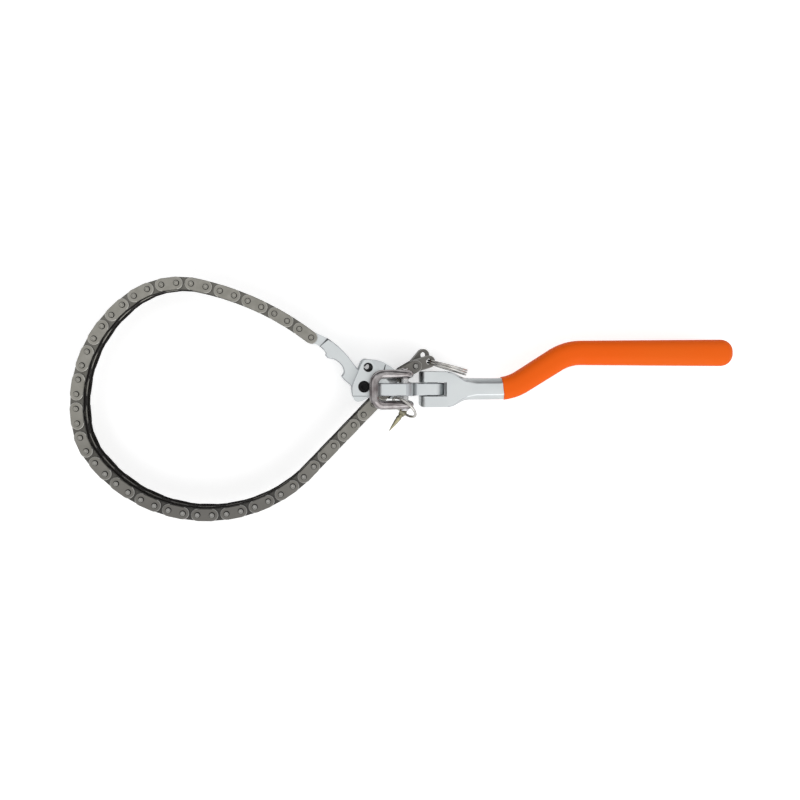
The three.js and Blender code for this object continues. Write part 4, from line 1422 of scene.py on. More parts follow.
    def ridge(self) -> bmesh.types.BMesh:
        """The raised ridge that carries the shackle's pin, ramped up from the cheek.

        Returns:
            The solid.
        """
        radius = self.shackle_pin / 2 + self.lug_wall
        crown, reach = self.shackle.z + radius, self.right - self.shackle.x
        start, end = (share * self.throat for share in self.ridge_shares)
        profile = [(self.right, self.inside)]
        nose_steps, ramp_steps = 20, 12
        for i in range(nose_steps + 1):
            turn = math.radians(90 * i / nose_steps)
            ahead, above = reach * math.cos(turn), radius * math.sin(turn)
            profile.append((self.shackle.x + ahead, self.shackle.z + above))
        for i in range(ramp_steps + 1):
            share = i / ramp_steps
            fall = (crown - self.outside) * smooth_step(share)
            profile.append((end + (start - end) * share, crown - fall))
        profile.append((start, self.inside))
        return side_prism(profile, self.bottom, self.top, self.ridge_round, segments=4)

    def notch_cut(self) -> bmesh.types.BMesh:
        """The short trimming notch across the sloping facet.

        Returns:
            The solid that it is cut with.
        """
        start, end = (Vector(place) for place in self.notch)
        aside = (end - start).orthogonal().normalized() * self.notch_width / 2
        corners = [start + aside * 0.5, start - aside * 0.5, end - aside, end + aside]
        return prism([(c.x, c.y) for c in corners], self.notch_floor, self.outside)

    def facet(self, ends: tuple[Place, Place], slope: float, run: float) -> bmesh.types.BMesh:
        """A wedge that a sloping facet of the front cheek is cut with.

        Args:
            ends: The facet's edge, in shares of the throat, with the facet on its left.
            slope: How far it falls over each millimetre.
            run: How far it falls for.

        Returns:
            The wedge.
        """
        start, end = (Vector((x, y)) * self.throat for x, y in ends)
        along = (end - start).normalized()
        points = [
            (-self.overrun, self.overrun * slope), (run, -run * slope),
            (self.throat, -run * slope), (self.throat, self.overrun),
        ]
        solid = prism(points, 0, (end - start).length + self.facet_reach * self.throat)
        origin_x, origin_y = start.x - along.x * self.throat, start.y - along.y * self.throat
        basis = square_basis(
            (-along.y, along.x, 0), (0, 0, 1), (along.x, along.y, 0),
            (origin_x, origin_y, self.outside),
        )
        solid.transform(basis)
        return solid

    def bores(self) -> list[bmesh.types.BMesh]:
        """The holes for the jaw pin, the roll pin, the hinge pin and the shackle's pin.

        Returns:
            The solids that the holes are cut with.
        """
        fit, deep = self.running_fit, self.outside + self.overrun
        return [
            prism(circle((0, 0), self.jaw_pin + fit), -deep, deep),
            prism(circle(self.stop, self.roll_pin + fit, self.pin_sides), -deep, deep),
            side_prism(circle((self.hinge.x, 0), self.hinge_pin + fit), -3 * deep, 3 * deep),
            side_prism(
                circle((self.shackle.x, self.shackle.z), self.shackle_pin + fit), -deep, deep
            ),
        ]

    def forging(self) -> None:
        """Builds the head itself."""
        joined = (
            self.cheek(-self.outside, -self.inside), self.web(), *self.teeth(), self.knuckle(),
            self.knuckle_root(),
        )
        slope = self.facet_depth / self.facet_run
        trims = (
            self.facet(self.facet_shares, slope, self.facet_run),
            self.facet(self.foot_shares, self.foot_slope, self.foot_run),
            self.notch_cut(),
        )
        cuts = [
            *((Cut.JOIN, solid) for solid in joined),
            *((Cut.REMOVE, solid) for solid in trims),
            (Cut.JOIN, self.ridge()),
            *((Cut.REMOVE, solid) for solid in self.bores()),
        ]
        body = carve(self.cheek(self.inside, self.outside), cuts)
        # The head's hollows, foot step and notch are darkened: painted shade.
        self.workshop.set_piece("head_body", body, Slot.FORGING_STEEL, edge_mark=0.35, painted_shade=self.painted_shade)

    def painted_shade(self, place: Vector, facing: Vector) -> float:
        """How dark a face of the head is.

        The knuckle's hollow roots, the small step at the foot and the notch take painted shade.

        Args:
            place: The face's middle.
            facing: Its normal.

        Returns:
            Its painted shade, from 0 to 1.
        """
        along = (place.x - self.right) / self.root_run
        above = abs(place.z) - self.knuckle_radius
        if self.root_margin < along < 1 and above > self.root_margin and abs(facing.y) < 0.5:
            stretch, power = self.root_fade
            return self.root_painted_shade * math.sin(math.pi * min(1.0, along * stretch) ** power)
        foot = self.foot_shares[1][1] * self.throat
        across, deep = self.foot_band
        on_foot = place.z > self.outside - deep and abs(place.y - foot) < across
        if on_foot and facing.y < -self.foot_facing and place.x < self.foot_end:
            return self.foot_painted_shade
        (start_x, start_y), (end_x, end_y) = self.notch
        beside, beyond = self.notch_band
        near = (
            end_x - beside < place.x < start_x + beside
            and end_y - beyond < place.y < start_y + beyond
        )
        inside_it = abs(facing.z) < 0.5 or abs(place.z - self.notch_floor) < self.floor_band
        return self.notch_painted_shade if near and inside_it and place.z > self.inside else 0.0

    def pivot_pin(self) -> None:
        """The jaw's pin, set below the cheek with a socket in each end."""
        radius, half = self.jaw_pin / 2, self.outside - self.jaw_pin_recess
        socket = self.socket_share * radius
        ease, ease_drop = self.jaw_pin_ease
        mouth, mouth_drop = self.socket_mouth
        wall, floor = self.socket_depths
        upper = [
            (radius, half - ease_drop), (radius - ease, half), (socket + mouth, half),
            (socket, half - mouth_drop), (socket, half - wall), (0, half - floor),
        ]
        pin = turned_evenly(upper, self.pin_sides)
        self.workshop.set_piece("jaw_pivot_pin", pin, Slot.BLACK_OXIDE, edge_mark=0.3)

    def stop_pin(self) -> None:
        """The rolled spring pin that the jaw arm stops against."""
        half = self.outside + self.roll_pin_proud
        outer, inner, ease = self.roll_pin / 2, self.roll_pin_bore / 2, self.roll_pin_ease
        upper = [(outer, half - ease), (outer - ease, half), (inner, half)]
        slit, beyond = self.roll_pin_slit / 2, -outer - self.overrun
        corners = [(beyond, -slit), (0, -slit), (0, slit), (beyond, slit)]
        gap = prism(corners, -half - self.overrun, half + self.overrun)
        tube = carve(turned_evenly(upper, self.pin_sides), [(Cut.REMOVE, gap)])
        tube.transform(Matrix.Translation((*self.stop, 0)))
        self.workshop.set_piece("stop_roll_pin", tube, Slot.BLACK_OXIDE, edge_mark=0.3)

    def build(self) -> None:
        """Builds the head and the pins in it."""
        self.forging()
        self.pivot_pin()
        self.stop_pin()


@dataclass
class JawArm:
    """The curved jaw arm, stepped down to a tongue where the chain starts."""

    workshop: Workshop
    route: ChainRoute
    half: float
    tongue_half: float
    jaw_pin: float = 7.8
    chain_pin: float = 3.68
    slot_half: float = 0.95
    slot_diameter: float = 10.8
    tongue_share: float = 0.83
    step_slopes: Place = (2.6, 0.5)
    step_edges: Place = (-0.17, 0.06)
    # Painted shade on the sloping step down to the tongue.
    step_painted_shade: float = 0.9
    step_band: Place = (0.2, 0.1)
    step_facing: Span = (0.3, 0.95)
    rim_round: float = 0.8
    bore_sides: int = 24
    outline_shares: tuple[OutlinePoint, ...] = (
        (1.088, 0.0, False), (1.062, 0.062, False), (1.0, 0.088, False), (0.96, 0.07, False),
        (0.92, 0.04, False), (0.85, 0.016, False), (0.77, 0.01, False), (0.704, 0.02, True),
        (0.692, 0.048, True), (0.637, 0.056, True), (0.558, 0.008, False), (0.48, -0.006, False),
        (0.392, 0.008, False), (0.334, 0.05, False), (0.321, 0.114, True), (0.25, 0.122, False),
        (0.13, 0.12, False), (0.0, 0.176, False), (-0.125, 0.125, False), (-0.176, 0.0, False),
        (-0.125, -0.125, False), (0.0, -0.176, False), (0.1, -0.14, False), (0.23, -0.125, False),
        (0.33, -0.137, False), (0.4, -0.15, False), (0.49, -0.162, False), (0.6, -0.168, False),
        (0.7, -0.165, False), (0.82, -0.15, False), (0.92, -0.12, False), (1.01, -0.088, False),
        (1.062, -0.062, False),
    )

    def step_slope(self, start: float, side: int) -> bmesh.types.BMesh:
        """The wedge that slopes the step down to the tongue, wider towards the outer edge.

        Args:
            start: Where the tongue starts along the arm.
            side: 1 for the front face, -1 for the rear.

        Returns:
            The wedge.
        """
        rings = []
        top = self.half + 1
        for across, run in zip(self.step_edges, self.step_slopes):
            rise = run * (top - self.tongue_half) / (self.half - self.tongue_half)
            corners = [
                (start + 1, self.tongue_half), (start, self.tongue_half),
                (start - rise, top), (start + 1, top),
            ]
            y = 2 * across * self.route.pins()[0].length
            rings.append([Vector((x, y, side * z)) for x, z in corners])
        return skin(rings)

    def build(self) -> None:
        """Builds the arm."""
        vector = self.route.pins()[0]
        length = vector.length
        scaled = [(x * length, y * length, sharp) for x, y, sharp in self.outline_shares]
        blank = prism(smooth_loop(scaled), -self.half, self.half, self.rim_round, segments=3)
        start, end = length * self.tongue_share, length * (1 + self.tongue_share)
        beside = [(start, -length), (end, -length), (end, length), (start, length)]
        over = self.half + 1
        cuts = [
            prism(beside, self.tongue_half, over),
            prism(beside, -over, -self.tongue_half),
            prism(circle((length, 0), self.slot_diameter), -self.slot_half, self.slot_half),
            prism(circle((length, 0), self.chain_pin, self.bore_sides), -over, over),
            prism(circle((0, 0), self.jaw_pin), -over, over),
            *(self.step_slope(start, side) for side in (-1, 1)),
        ]
        arm = carve(blank, [(Cut.REMOVE, solid) for solid in cuts])
        arm.transform(Matrix.Rotation(math.atan2(vector.y, vector.x), 4, "Z"))
        toward = vector.normalized()

        def painted_shade(place: Vector, facing: Vector) -> float:
            """Painted shade on the sloping step alone."""
            beside, below = self.step_band
            least, most = self.step_facing
            near = abs(place.dot(toward) - start) < self.step_slopes[0] + beside
            sloping = abs(place.z) > self.tongue_half - below and least < abs(facing.z) < most
            return self.step_painted_shade if near and sloping else 0.0

        self.workshop.set_piece("jaw_arm", arm, Slot.FORGING_STEEL, edge_mark=0.45, painted_shade=painted_shade)


# The handle


@dataclass(frozen=True)
class PlanPath:
    """A path of straight runs and bends in plan."""

    start: Place
    runs: tuple[tuple[float, float], ...]

    def at(self, length: float) -> tuple[Vector, float]:
        """Where the path has got to.

        Args:
            length: How far along it.

        Returns:
            The place and the heading there, in radians.
        """
        place, heading, left = Vector((*self.start, 0)), 0.0, length
        for i, (run, turn) in enumerate(self.runs):
            used = left if i == len(self.runs) - 1 else min(left, run)
            turned_by = turn * used / run
            chord = used if turn == 0 else 2 * (run / turn) * math.sin(turned_by / 2)
            toward = heading + turned_by / 2
            place += Vector((math.cos(toward), math.sin(toward), 0)) * chord
            heading += turned_by
            left -= used
        return place, heading

    def ring(self, length: float, section: Sequence[Place]) -> list[Vector]:
        """A section set square to the path.

        Args:
            length: How far along the path it is.
            section: The section, across and up.

        Returns:
            The section's places.
        """
        place, heading = self.at(length)
        across = Vector((-math.sin(heading), math.cos(heading), 0))
        return [place + across * u + Vector((0, 0, v)) for u, v in section]


@dataclass
class ForkHandle:
    """The fork, its neck and bent tang, the dipped grip and the hinge pin."""

    workshop: Workshop
    knuckle_radius: float = 8.1
    tine_radius: float = 8.9
    slot_clearance: float = 0.6
    slot_half: float = 4.7
    shoulder_length: float = 20.0
    neck_width: float = 14.4
    neck_thickness: float = 12.6
    neck_bevel: float = 3.4
    neck_run: float = 14.5
    bend_radius: float = 33.0
    bend_angle: float = 32.0
    bend_straight: float = 27.0
    grip_setback: float = 3.7
    grip_length: float = 167.0
    grip_widths: Place = (15.7, 18.5)
    grip_thickness: float = 14.4
    grip_round: float = 9.0
    grip_last_share: float = 0.99
    grip_squareness: float = 0.75
    lip_rings: tuple[Place, ...] = ((0, 0.75), (0.12, 0.35), (0.5, 0.06))
    lip_length: float = 0.9
    hinge_pin: float = 7.0
    running_fit: float = 0.3
    tine_corner: float = 1.7
    tine_corner_share: float = 0.3
    tine_round: float = 4.2
    tine_steps: int = 14
    edge_bevel: float = 0.75
    edge_end: float = 0.1
    shoulder_span: Place = (0.05, 0.7)
    shoulder_ease: Place = (0.1, 0.4)
    shoulder_bevel_power: float = 1.5
    neck_ease: float = 0.5
    pin_sides: int = 40

    def __post_init__(self) -> None:
        """Works out the places that the sizes and the frame give."""
        self.hinge = self.workshop.box_centre("handle_hinge_pin")
        low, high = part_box("handle_hinge_pin")
        self.fork_half = (high.y - low.y) / MM / 2
        self.tine_left = self.hinge.x - self.tine_radius
        self.slot_end = self.hinge.x + self.knuckle_radius + self.slot_clearance
        self.shoulder_start = self.slot_end + self.slot_clearance
        self.fork_end = self.shoulder_start + self.shoulder_length
        bend = self.bend_radius * math.radians(self.bend_angle)
        self.path = PlanPath(
            (self.fork_end - self.neck_bevel, self.hinge.y),
            (
                (self.neck_run + self.neck_bevel, 0),
                (bend, math.radians(self.bend_angle)),
                (self.bend_straight, 0),
                (bend, -math.radians(self.bend_angle)),
                (self.grip_length, 0),
            ),
        )
        self.grip_start = self.neck_run + self.neck_bevel + self.grip_setback
        self.grip_end = self.grip_start + self.grip_length

    def fork_plan(self) -> list[Place]:
        """The fork from above as far as its shoulders, with rounded tine ends.

        Returns:
            The places of its outline.
        """
        corner, left = self.tine_corner, self.tine_left
        right, half = self.shoulder_start, self.fork_half
        eased = corner * self.tine_corner_share
        lower = [(left, -half + corner, True), (left + eased, -half + eased, False)]
        lower += [(left + corner, -half, True), (right, -half, True)]
        upper = [(x, -y, sharp) for x, y, sharp in reversed(lower)]
        return [(x, y + self.hinge.y) for x, y in smooth_loop(lower + upper)]

    def fork(self) -> bmesh.types.BMesh:
        """The two tines and what joins them: a plan and a side view that are both true.

        Returns:
            The solid.
        """
        radius, round_off = self.tine_radius, self.tine_round
        reach = radius - round_off
        side = arc((self.hinge.x - reach, reach), round_off, 90, 180, self.tine_steps)
        side += arc((self.hinge.x - reach, -reach), round_off, 180, 270, self.tine_steps)
        side += [(self.shoulder_start + 1, -radius), (self.shoulder_start + 1, radius)]
        over = radius + 1
        near, far = self.hinge.y - self.fork_half - 1, self.hinge.y + self.fork_half + 1
        left = self.tine_left - 1
        slot = [
            (left, self.hinge.y - self.slot_half), (self.slot_end, self.hinge.y - self.slot_half),
            (self.slot_end, self.hinge.y + self.slot_half), (left, self.hinge.y + self.slot_half),
        ]
        fork = carve(
            prism(self.fork_plan(), -over, over),
            [
                (Cut.KEEP, side_prism(side, near, far)),
                (Cut.REMOVE, prism(slot, -over, over)),
            ],
        )
        end = self.shoulder_start - self.edge_end
        ease_edges(fork, self.edge_bevel, segments=3, angle=30, wanted=lambda at: at.x < end)
        return fork

    def section(self, width: float, thickness: float, bevel: float, ease: float) -> list[Place]:
        """A flat-faced section with bevelled corners.

        Args:
            width: Half of its width.
            thickness: Half of its thickness.
            bevel: How far its bevels reach along each face.
            ease: How far each corner is eased.

        Returns:
            The section's places, two for each corner.
        """
        corners = [
            (-width, bevel - thickness), (bevel - width, -thickness), (width - bevel, -thickness),
            (width, bevel - thickness), (width, thickness - bevel), (width - bevel, thickness),
            (bevel - width, thickness), (-width, thickness - bevel),
        ]
        places = []
        for i, corner in enumerate(corners):
            before, after = Vector(corners[i - 1]), Vector(corners[(i + 1) % len(corners)])
            here = Vector(corner)
            for side in (before, after):
                eased = here + (side - here).normalized() * ease
                places.append((eased.x, eased.y))
        return places

    def shoulder_rings(self) -> list[list[Vector]]:
        """Rings from the fork's full section to the neck's, its bevels growing on the way.

        Returns:
            The rings, from the fork to the neck.
        """
        rings = []
        steps = 28
        begin, finish = self.shoulder_span
        ease, more = self.shoulder_ease
        for i in range(steps + 1):
            share = i / steps
            fall = min(1.0, max(0.0, (share - begin) / (finish - begin)))
            neck = self.neck_width / 2
            width = self.fork_half + (neck - self.fork_half) * smooth_step(fall)
            thickness = self.tine_radius + (self.neck_thickness / 2 - self.tine_radius) * share
            grown = share**self.shoulder_bevel_power
            bevel = self.edge_bevel + (self.neck_bevel - self.edge_bevel) * grown
            section = self.section(width, thickness, bevel, ease + more * share)
            x = self.shoulder_start + self.shoulder_length * share
            rings.append([Vector((x, self.hinge.y + u, v)) for u, v in section])
        return rings

    def forging(self) -> None:
        """The fork, its shoulders and the neck up to where it enters the grip."""
        width, thickness = self.neck_width / 2, self.neck_thickness / 2
        neck = self.section(width, thickness, self.neck_bevel, self.neck_ease)
        first = self.neck_bevel + 1
        steps = 7
        stops = [first + (self.grip_start + 3 - first) * i / steps for i in range(steps + 1)]
        rings = self.shoulder_rings()
        rings += [self.path.ring(length, neck) for length in stops]
        near, far = self.hinge.y - self.fork_half - 1, self.hinge.y + self.fork_half + 1
        hole = side_prism(circle((self.hinge.x, 0), self.hinge_pin + self.running_fit), near, far)
        body = carve(self.fork(), [(Cut.JOIN, skin(rings)), (Cut.REMOVE, hole)])
        self.workshop.set_piece("handle_forging", body, Slot.FORGING_STEEL, edge_mark=0.4)

    def grip_section(self, length: float, inset: float, scale: float = 1.0) -> list[Place]:
        """The grip's section: a squarer oval than an ellipse.

        Args:
            length: How far along the handle it is.
            inset: How far it is drawn in all round.
            scale: How far it has shrunk towards the rounded end.

        Returns:
            The section's places.
        """
        sides = 48
        share = min(1.0, max(0.0, (length - self.grip_start) / self.grip_length))
        width = self.grip_widths[0] + (self.grip_widths[1] - self.grip_widths[0]) * share
        places = []
        for i in range(sides):
            turn = 2 * math.pi * (i + 0.5) / sides
            c, s = math.cos(turn), math.sin(turn)
            aside = math.copysign(abs(c) ** self.grip_squareness, c)
            above = math.copysign(abs(s) ** self.grip_squareness, s)
            across = (width / 2 - inset) * aside
            up = (self.grip_thickness / 2 - inset) * above
            places.append((across * scale, up * scale))
        return places

    def grip(self) -> None:
        """The dipped grip, with a thin rolled lip and a rounded end."""
        stations = [(self.grip_start + along, inset) for along, inset in self.lip_rings]
        round_start = self.grip_end - self.grip_round
        even = round_start - self.grip_start - self.lip_length
        steps, end_steps = 90, 14
        for i in range(steps + 1):
            stations.append((self.grip_start + self.lip_length + even * i / steps, 0.0))
        rings = [
            self.path.ring(length, self.grip_section(length, inset)) for length, inset in stations
        ]
        for i in range(1, end_steps + 1):
            share = self.grip_last_share * math.sin(i / end_steps * math.pi / 2)
            length = round_start + self.grip_round * share
            section = self.grip_section(length, 0, math.sqrt(1 - share**2))
            rings.append(self.path.ring(length, section))
        self.workshop.set_piece("handle_grip", skin(rings), Slot.GRIP_VINYL)

    def hinge_pin_piece(self) -> None:
        """The hinge pin, with chamfered ends a hair inside the tines."""
        radius, half = self.hinge_pin / 2, self.fork_half
        chamfer, dimple, dimple_depth = 0.6, 0.8, 0.5
        upper = [
            (radius, half - chamfer), (radius - chamfer, half),
            (dimple, half), (0, half - dimple_depth),
        ]
        rod = turned_evenly(upper, self.pin_sides)
        rod.transform(Matrix.Translation(self.hinge) @ Matrix.Rotation(math.pi / 2, 4, "X"))
        self.workshop.set_piece("handle_hinge_pin", rod, Slot.BLACK_OXIDE, edge_mark=0.4)

    def build(self) -> None:
        """Builds the handle."""
        self.forging()
        self.grip()
        self.hinge_pin_piece()


# The shackle, the rings and the spike


@dataclass
class Shackle:
    """The bow shackle on its pin, with the tether ring and spike that hang from it."""

    workshop: Workshop
    rod: float = 6.0
    gap: float = 14.1
    length: float = 21.8
    bend: float = 6.5
    tilt: float = 18.0
    eye: float = 11.6
    eye_run: float = 9.5
    eye_powers: Span = (3.2, 0.45)
    eye_least: float = 0.02
    pin: float = 5.0
    pin_proud: float = 1.0
    pin_end: tuple[Place, ...] = ((0, 0.5), (0.4, 0.05))
    running_fit: float = 0.3
    thread_start: float = 4.3
    thread_end_gap: float = 0.15
    thread_depth: float = 0.3
    thread_turns: int = 4
    ring: float = 19.6
    ring_wire: float = 1.8
    ring_tilt: float = 68.0
    ring_heading: float = -42.0
    ring_shift: Triple = (-0.4, -1.7, 0.4)
    spike: float = 3.0
    spike_length: float = 15.5
    spike_tip: float = 9.0
    bead_swell: float = 1.12
    bead_shares: tuple[float, ...] = (0.55, 0.62, 0.8, 0.9)
    neck_share: float = 0.94
    tip_middle: Place = (0.5, 0.62)
    tip_point: Place = (0.16, 0.5)
    collar: float = 5.0
    collar_length: float = 4.0
    collar_round: float = 0.45
    collar_play: float = 0.9
    spike_angle: float = 285.0
    spike_heading: float = 224.0
    rod_sides: int = 32
    turned_sides: int = 36
    bore_sides: int = 28
    wire_sides: int = 16
    ring_steps: int = 96

    def __post_init__(self) -> None:
        """Works out where the shackle's pin and its legs lie."""
        self.centre = self.workshop.box_centre("shackle_pin")
        self.spacing = self.gap + self.rod

    def leg_shape(self, along: float) -> Place:
        """How much thicker and higher than the rod a leg is, by its distance in from the pin.

        Args:
            along: The distance, which is negative beyond the pin.

        Returns:
            Its thickness and its height, as shares of the rod's.
        """
        eye, rod = self.eye / 2, self.rod / 2
        if along < 0:
            share = min(1.0, -along / eye)
            fullness, taper = self.eye_powers
            height = max(self.eye_least, math.sqrt(1 - share**2))
            return (1 - share**fullness) ** taper, height * eye / rod
        fall = min(1.0, along / self.eye_run)
        return 1.0, (eye + (rod - eye) * smooth_step(fall)) / rod

    def bow_rings(self) -> list[list[Vector]]:
        """Rings along the bow from one rounded eye to the other.

        Returns:
            The rings.
        """
        radius = self.spacing / 2
        leg, back = self.length - self.bend, radius - self.bend
        eye_steps, leg_steps, bend_steps = 10, 24, 16
        rings = []
        for side in (1, -1):
            half = []
            for i in range(eye_steps, 0, -1):
                ahead = self.eye / 2 * math.sin(i / (eye_steps + 0.3) * math.pi / 2)
                half.append((Vector((ahead, radius, 0)), 180))
            for i in range(leg_steps):
                half.append((Vector((-leg * i / leg_steps, radius, 0)), 180))
            for i in range(bend_steps + 1):
                turn = 90 + 90 * i / bend_steps
                middle = arc((-leg, back), self.bend, turn, turn, 1)[0]
                half.append((Vector((*middle, 0)), turn + 90))
            for place, heading in half if side > 0 else reversed(half):
                wide, high = self.leg_shape(-place.x)
                turn = math.radians(heading)
                across = Vector((-math.sin(turn), math.cos(turn) * side, 0)) * wide
                middle = Vector((place.x, place.y * side, 0))
                section = circle((0, 0), self.rod, self.rod_sides)
                rings.append([middle + across * u + Vector((0, 0, v * high)) for u, v in section])
        return rings

    def bow(self) -> None:
        """The bow: a bent rod that swells into a rounded eye on each leg."""
        hole = circle((0, 0), self.pin + self.running_fit)
        cut = (Cut.REMOVE, side_prism(hole, -self.length, self.length))
        bow = carve(skin(self.bow_rings()), [cut])
        tilted = Matrix.Rotation(math.radians(self.tilt), 4, "Y")
        bow.transform(Matrix.Translation(self.centre) @ tilted)
        self.workshop.set_piece("bow_shackle", bow, Slot.DARK_CHROME)

    def pin_piece(self) -> None:
        """The shackle's pin, with a few turns of thread beside each leg."""
        radius = self.pin / 2
        half = self.spacing / 2 + self.rod / 2 + self.pin_proud
        inner, outer = self.thread_start, self.gap / 2 - self.thread_end_gap
        pitch = (outer - inner) / self.thread_turns
        upper = [(radius, inner)]
        for i in range(self.thread_turns):
            start = inner + i * pitch
            root = (radius - self.thread_depth, start + pitch * 0.5)
            upper += [root, (radius, start + pitch)]
        upper += [(radius - inset, half - drop) for inset, drop in self.pin_end]
        upper.append((0, half))
        rod = turned_evenly(upper, self.turned_sides)
        rod.transform(Matrix.Translation(self.centre) @ Matrix.Rotation(math.pi / 2, 4, "X"))
        # The +Y end takes the dark chrome as painted shade, and the rest the bright finish as
        # painted highlight.
        for face in rod.faces:
            face.material_index = int(face.calc_center_median().y > self.centre.y + self.gap / 2)
        self.workshop.set_piece(
            "shackle_pin", rod, Slot.BRIGHT_WIRE, finishes=(Slot.HIGHLIGHT_PIN, Slot.DARK_CHROME)
        )

    def ring_axes(self) -> tuple[Vector, Vector, Vector]:
        """The tether ring's middle and the two directions that it lies in.

        Returns:
            The middle, the level direction and the one across it.
        """
        heading, tilt = math.radians(self.ring_heading), math.radians(self.ring_tilt)
        along = Vector((math.cos(heading), math.sin(heading), 0))
        across = Vector((-along.y * math.cos(tilt), along.x * math.cos(tilt), math.sin(tilt)))
        leg = Vector((0, -self.spacing / 2, 0))
        return self.centre + leg + Vector(self.ring_shift), along, across

    def on_ring(self, degrees: float) -> Vector:
        """A place on the middle of the ring's wire.

        Args:
            degrees: How far round the ring it is.

        Returns:
            The place.
        """
        centre, along, across = self.ring_axes()
        turn = math.radians(degrees)
        radius = (self.ring - self.ring_wire) / 2
        return centre + (along * math.cos(turn) + across * math.sin(turn)) * radius

    def tether_ring(self) -> None:
        """The ring round the shackle's lower leg."""
        path = [self.on_ring(360 * i / self.ring_steps) for i in range(self.ring_steps)]
        solid = wire(path, self.ring_wire, self.wire_sides, closed=True)
        self.workshop.set_piece("tether_ring", solid, Slot.BRIGHT_WIRE)

    def tether_spike(self) -> None:
        """The pointed spike whose collar is threaded on the ring."""
        hang = self.on_ring(self.spike_angle)
        before, after = self.on_ring(self.spike_angle - 1), self.on_ring(self.spike_angle + 1)
        tangent = (after - before).normalized()
        heading = math.radians(self.spike_heading)
        pointing = Vector((math.cos(heading), math.sin(heading), 0))
        pointing = (pointing - tangent * pointing.dot(tangent)).normalized()
        radius, waist = self.spike / 2, self.spike_length - self.spike_tip
        start, rise, fall, end = (waist * share for share in self.bead_shares)
        swell = radius * self.bead_swell
        (middle, along), (point, back) = self.tip_middle, self.tip_point
        profile = [
            (0, 0), (radius, 0), (radius, start), (swell, rise), (swell, fall), (radius, end),
            (radius * self.neck_share, waist + 1),
            (radius * middle, waist + self.spike_tip * along),
            (radius * point, self.spike_length - back), (0, self.spike_length),
        ]
        shaft = turned(profile, self.bore_sides)
        shaft.transform(Matrix.Rotation(-math.pi / 2, 4, "X"))
        half = self.collar_length / 2
        rim = circle((0, 0), self.collar, self.turned_sides)
        collar = prism(rim, -half, half, self.collar_round, segments=3)
        bore = circle((0, 0), self.ring_wire + self.collar_play, self.bore_sides)
        eye = prism(bore, -2 * half, 2 * half)
        solid = carve(collar, [(Cut.JOIN, shaft), (Cut.REMOVE, eye)])
        solid.transform(square_basis(pointing.cross(tangent), pointing, tangent, hang))
        self.workshop.set_piece("tether_spike", solid, Slot.ZINC_YELLOW)

    def build(self) -> None:
        """Builds the shackle and what hangs from it."""
        self.bow()
        self.pin_piece()
        self.tether_ring()
        self.tether_spike()


@dataclass
class PullRing:
    """The two-turn wire ring through the front end block."""

    workshop: Workshop
    route: ChainRoute
    strand_offset: float
    block_half: float
    diameter: float = 28.0
    wire: float = 1.3
    gap: float = 0.3
    turns: int = 2
    steps_a_turn: int = 72
    wire_sides: int = 14
    heading: float = 344.0

    def build(self) -> None:
        """Builds the ring."""
        radius = (self.diameter - self.wire) / 2
        turn = math.radians(self.heading)
        along = Vector((math.cos(turn), math.sin(turn), 0))
        normal = Vector((-along.y, along.x, 0))
        up = normal.cross(along)
        reach = radius - self.block_half**2 / (4 * radius)
        end = self.route.pins()[-1]
        centre = end + along * reach + Vector((0, 0, self.strand_offset))
        rise = (self.wire + self.gap) * self.turns
        path = []
        steps = self.steps_a_turn * self.turns
        for i in range(steps + 1):
            angle = 2 * math.pi * self.turns * i / steps
            height = rise * (i / steps - 0.5)
            ahead, above = along * radius * math.cos(angle), up * radius * math.sin(angle)
            path.append(centre + ahead + above + normal * height)
        solid = wire(path, self.wire, self.wire_sides, closed=False)
        self.workshop.set_piece("pull_ring", solid, Slot.BRIGHT_WIRE)


# The studio


@dataclass(frozen=True)
class Softbox:
    """A square soft lamp, in metres and watts."""

    name: str
    place: Triple
    size: float
    power: float

    def set_up(self, target: Vector) -> None:
        """Stands the lamp in its place, facing a target.

        Args:
            target: What it faces, in metres.
        """
        data = bpy.data.lights.new(self.name, "AREA")
        data.size = self.size
        data.energy = self.power
        lamp = bpy.data.objects.new(self.name, data)
        lamp.location = self.place
        toward = target - Vector(self.place)
        lamp.rotation_euler = toward.to_track_quat("-Z", "Y").to_euler()
        bpy.context.scene.collection.objects.link(lamp)


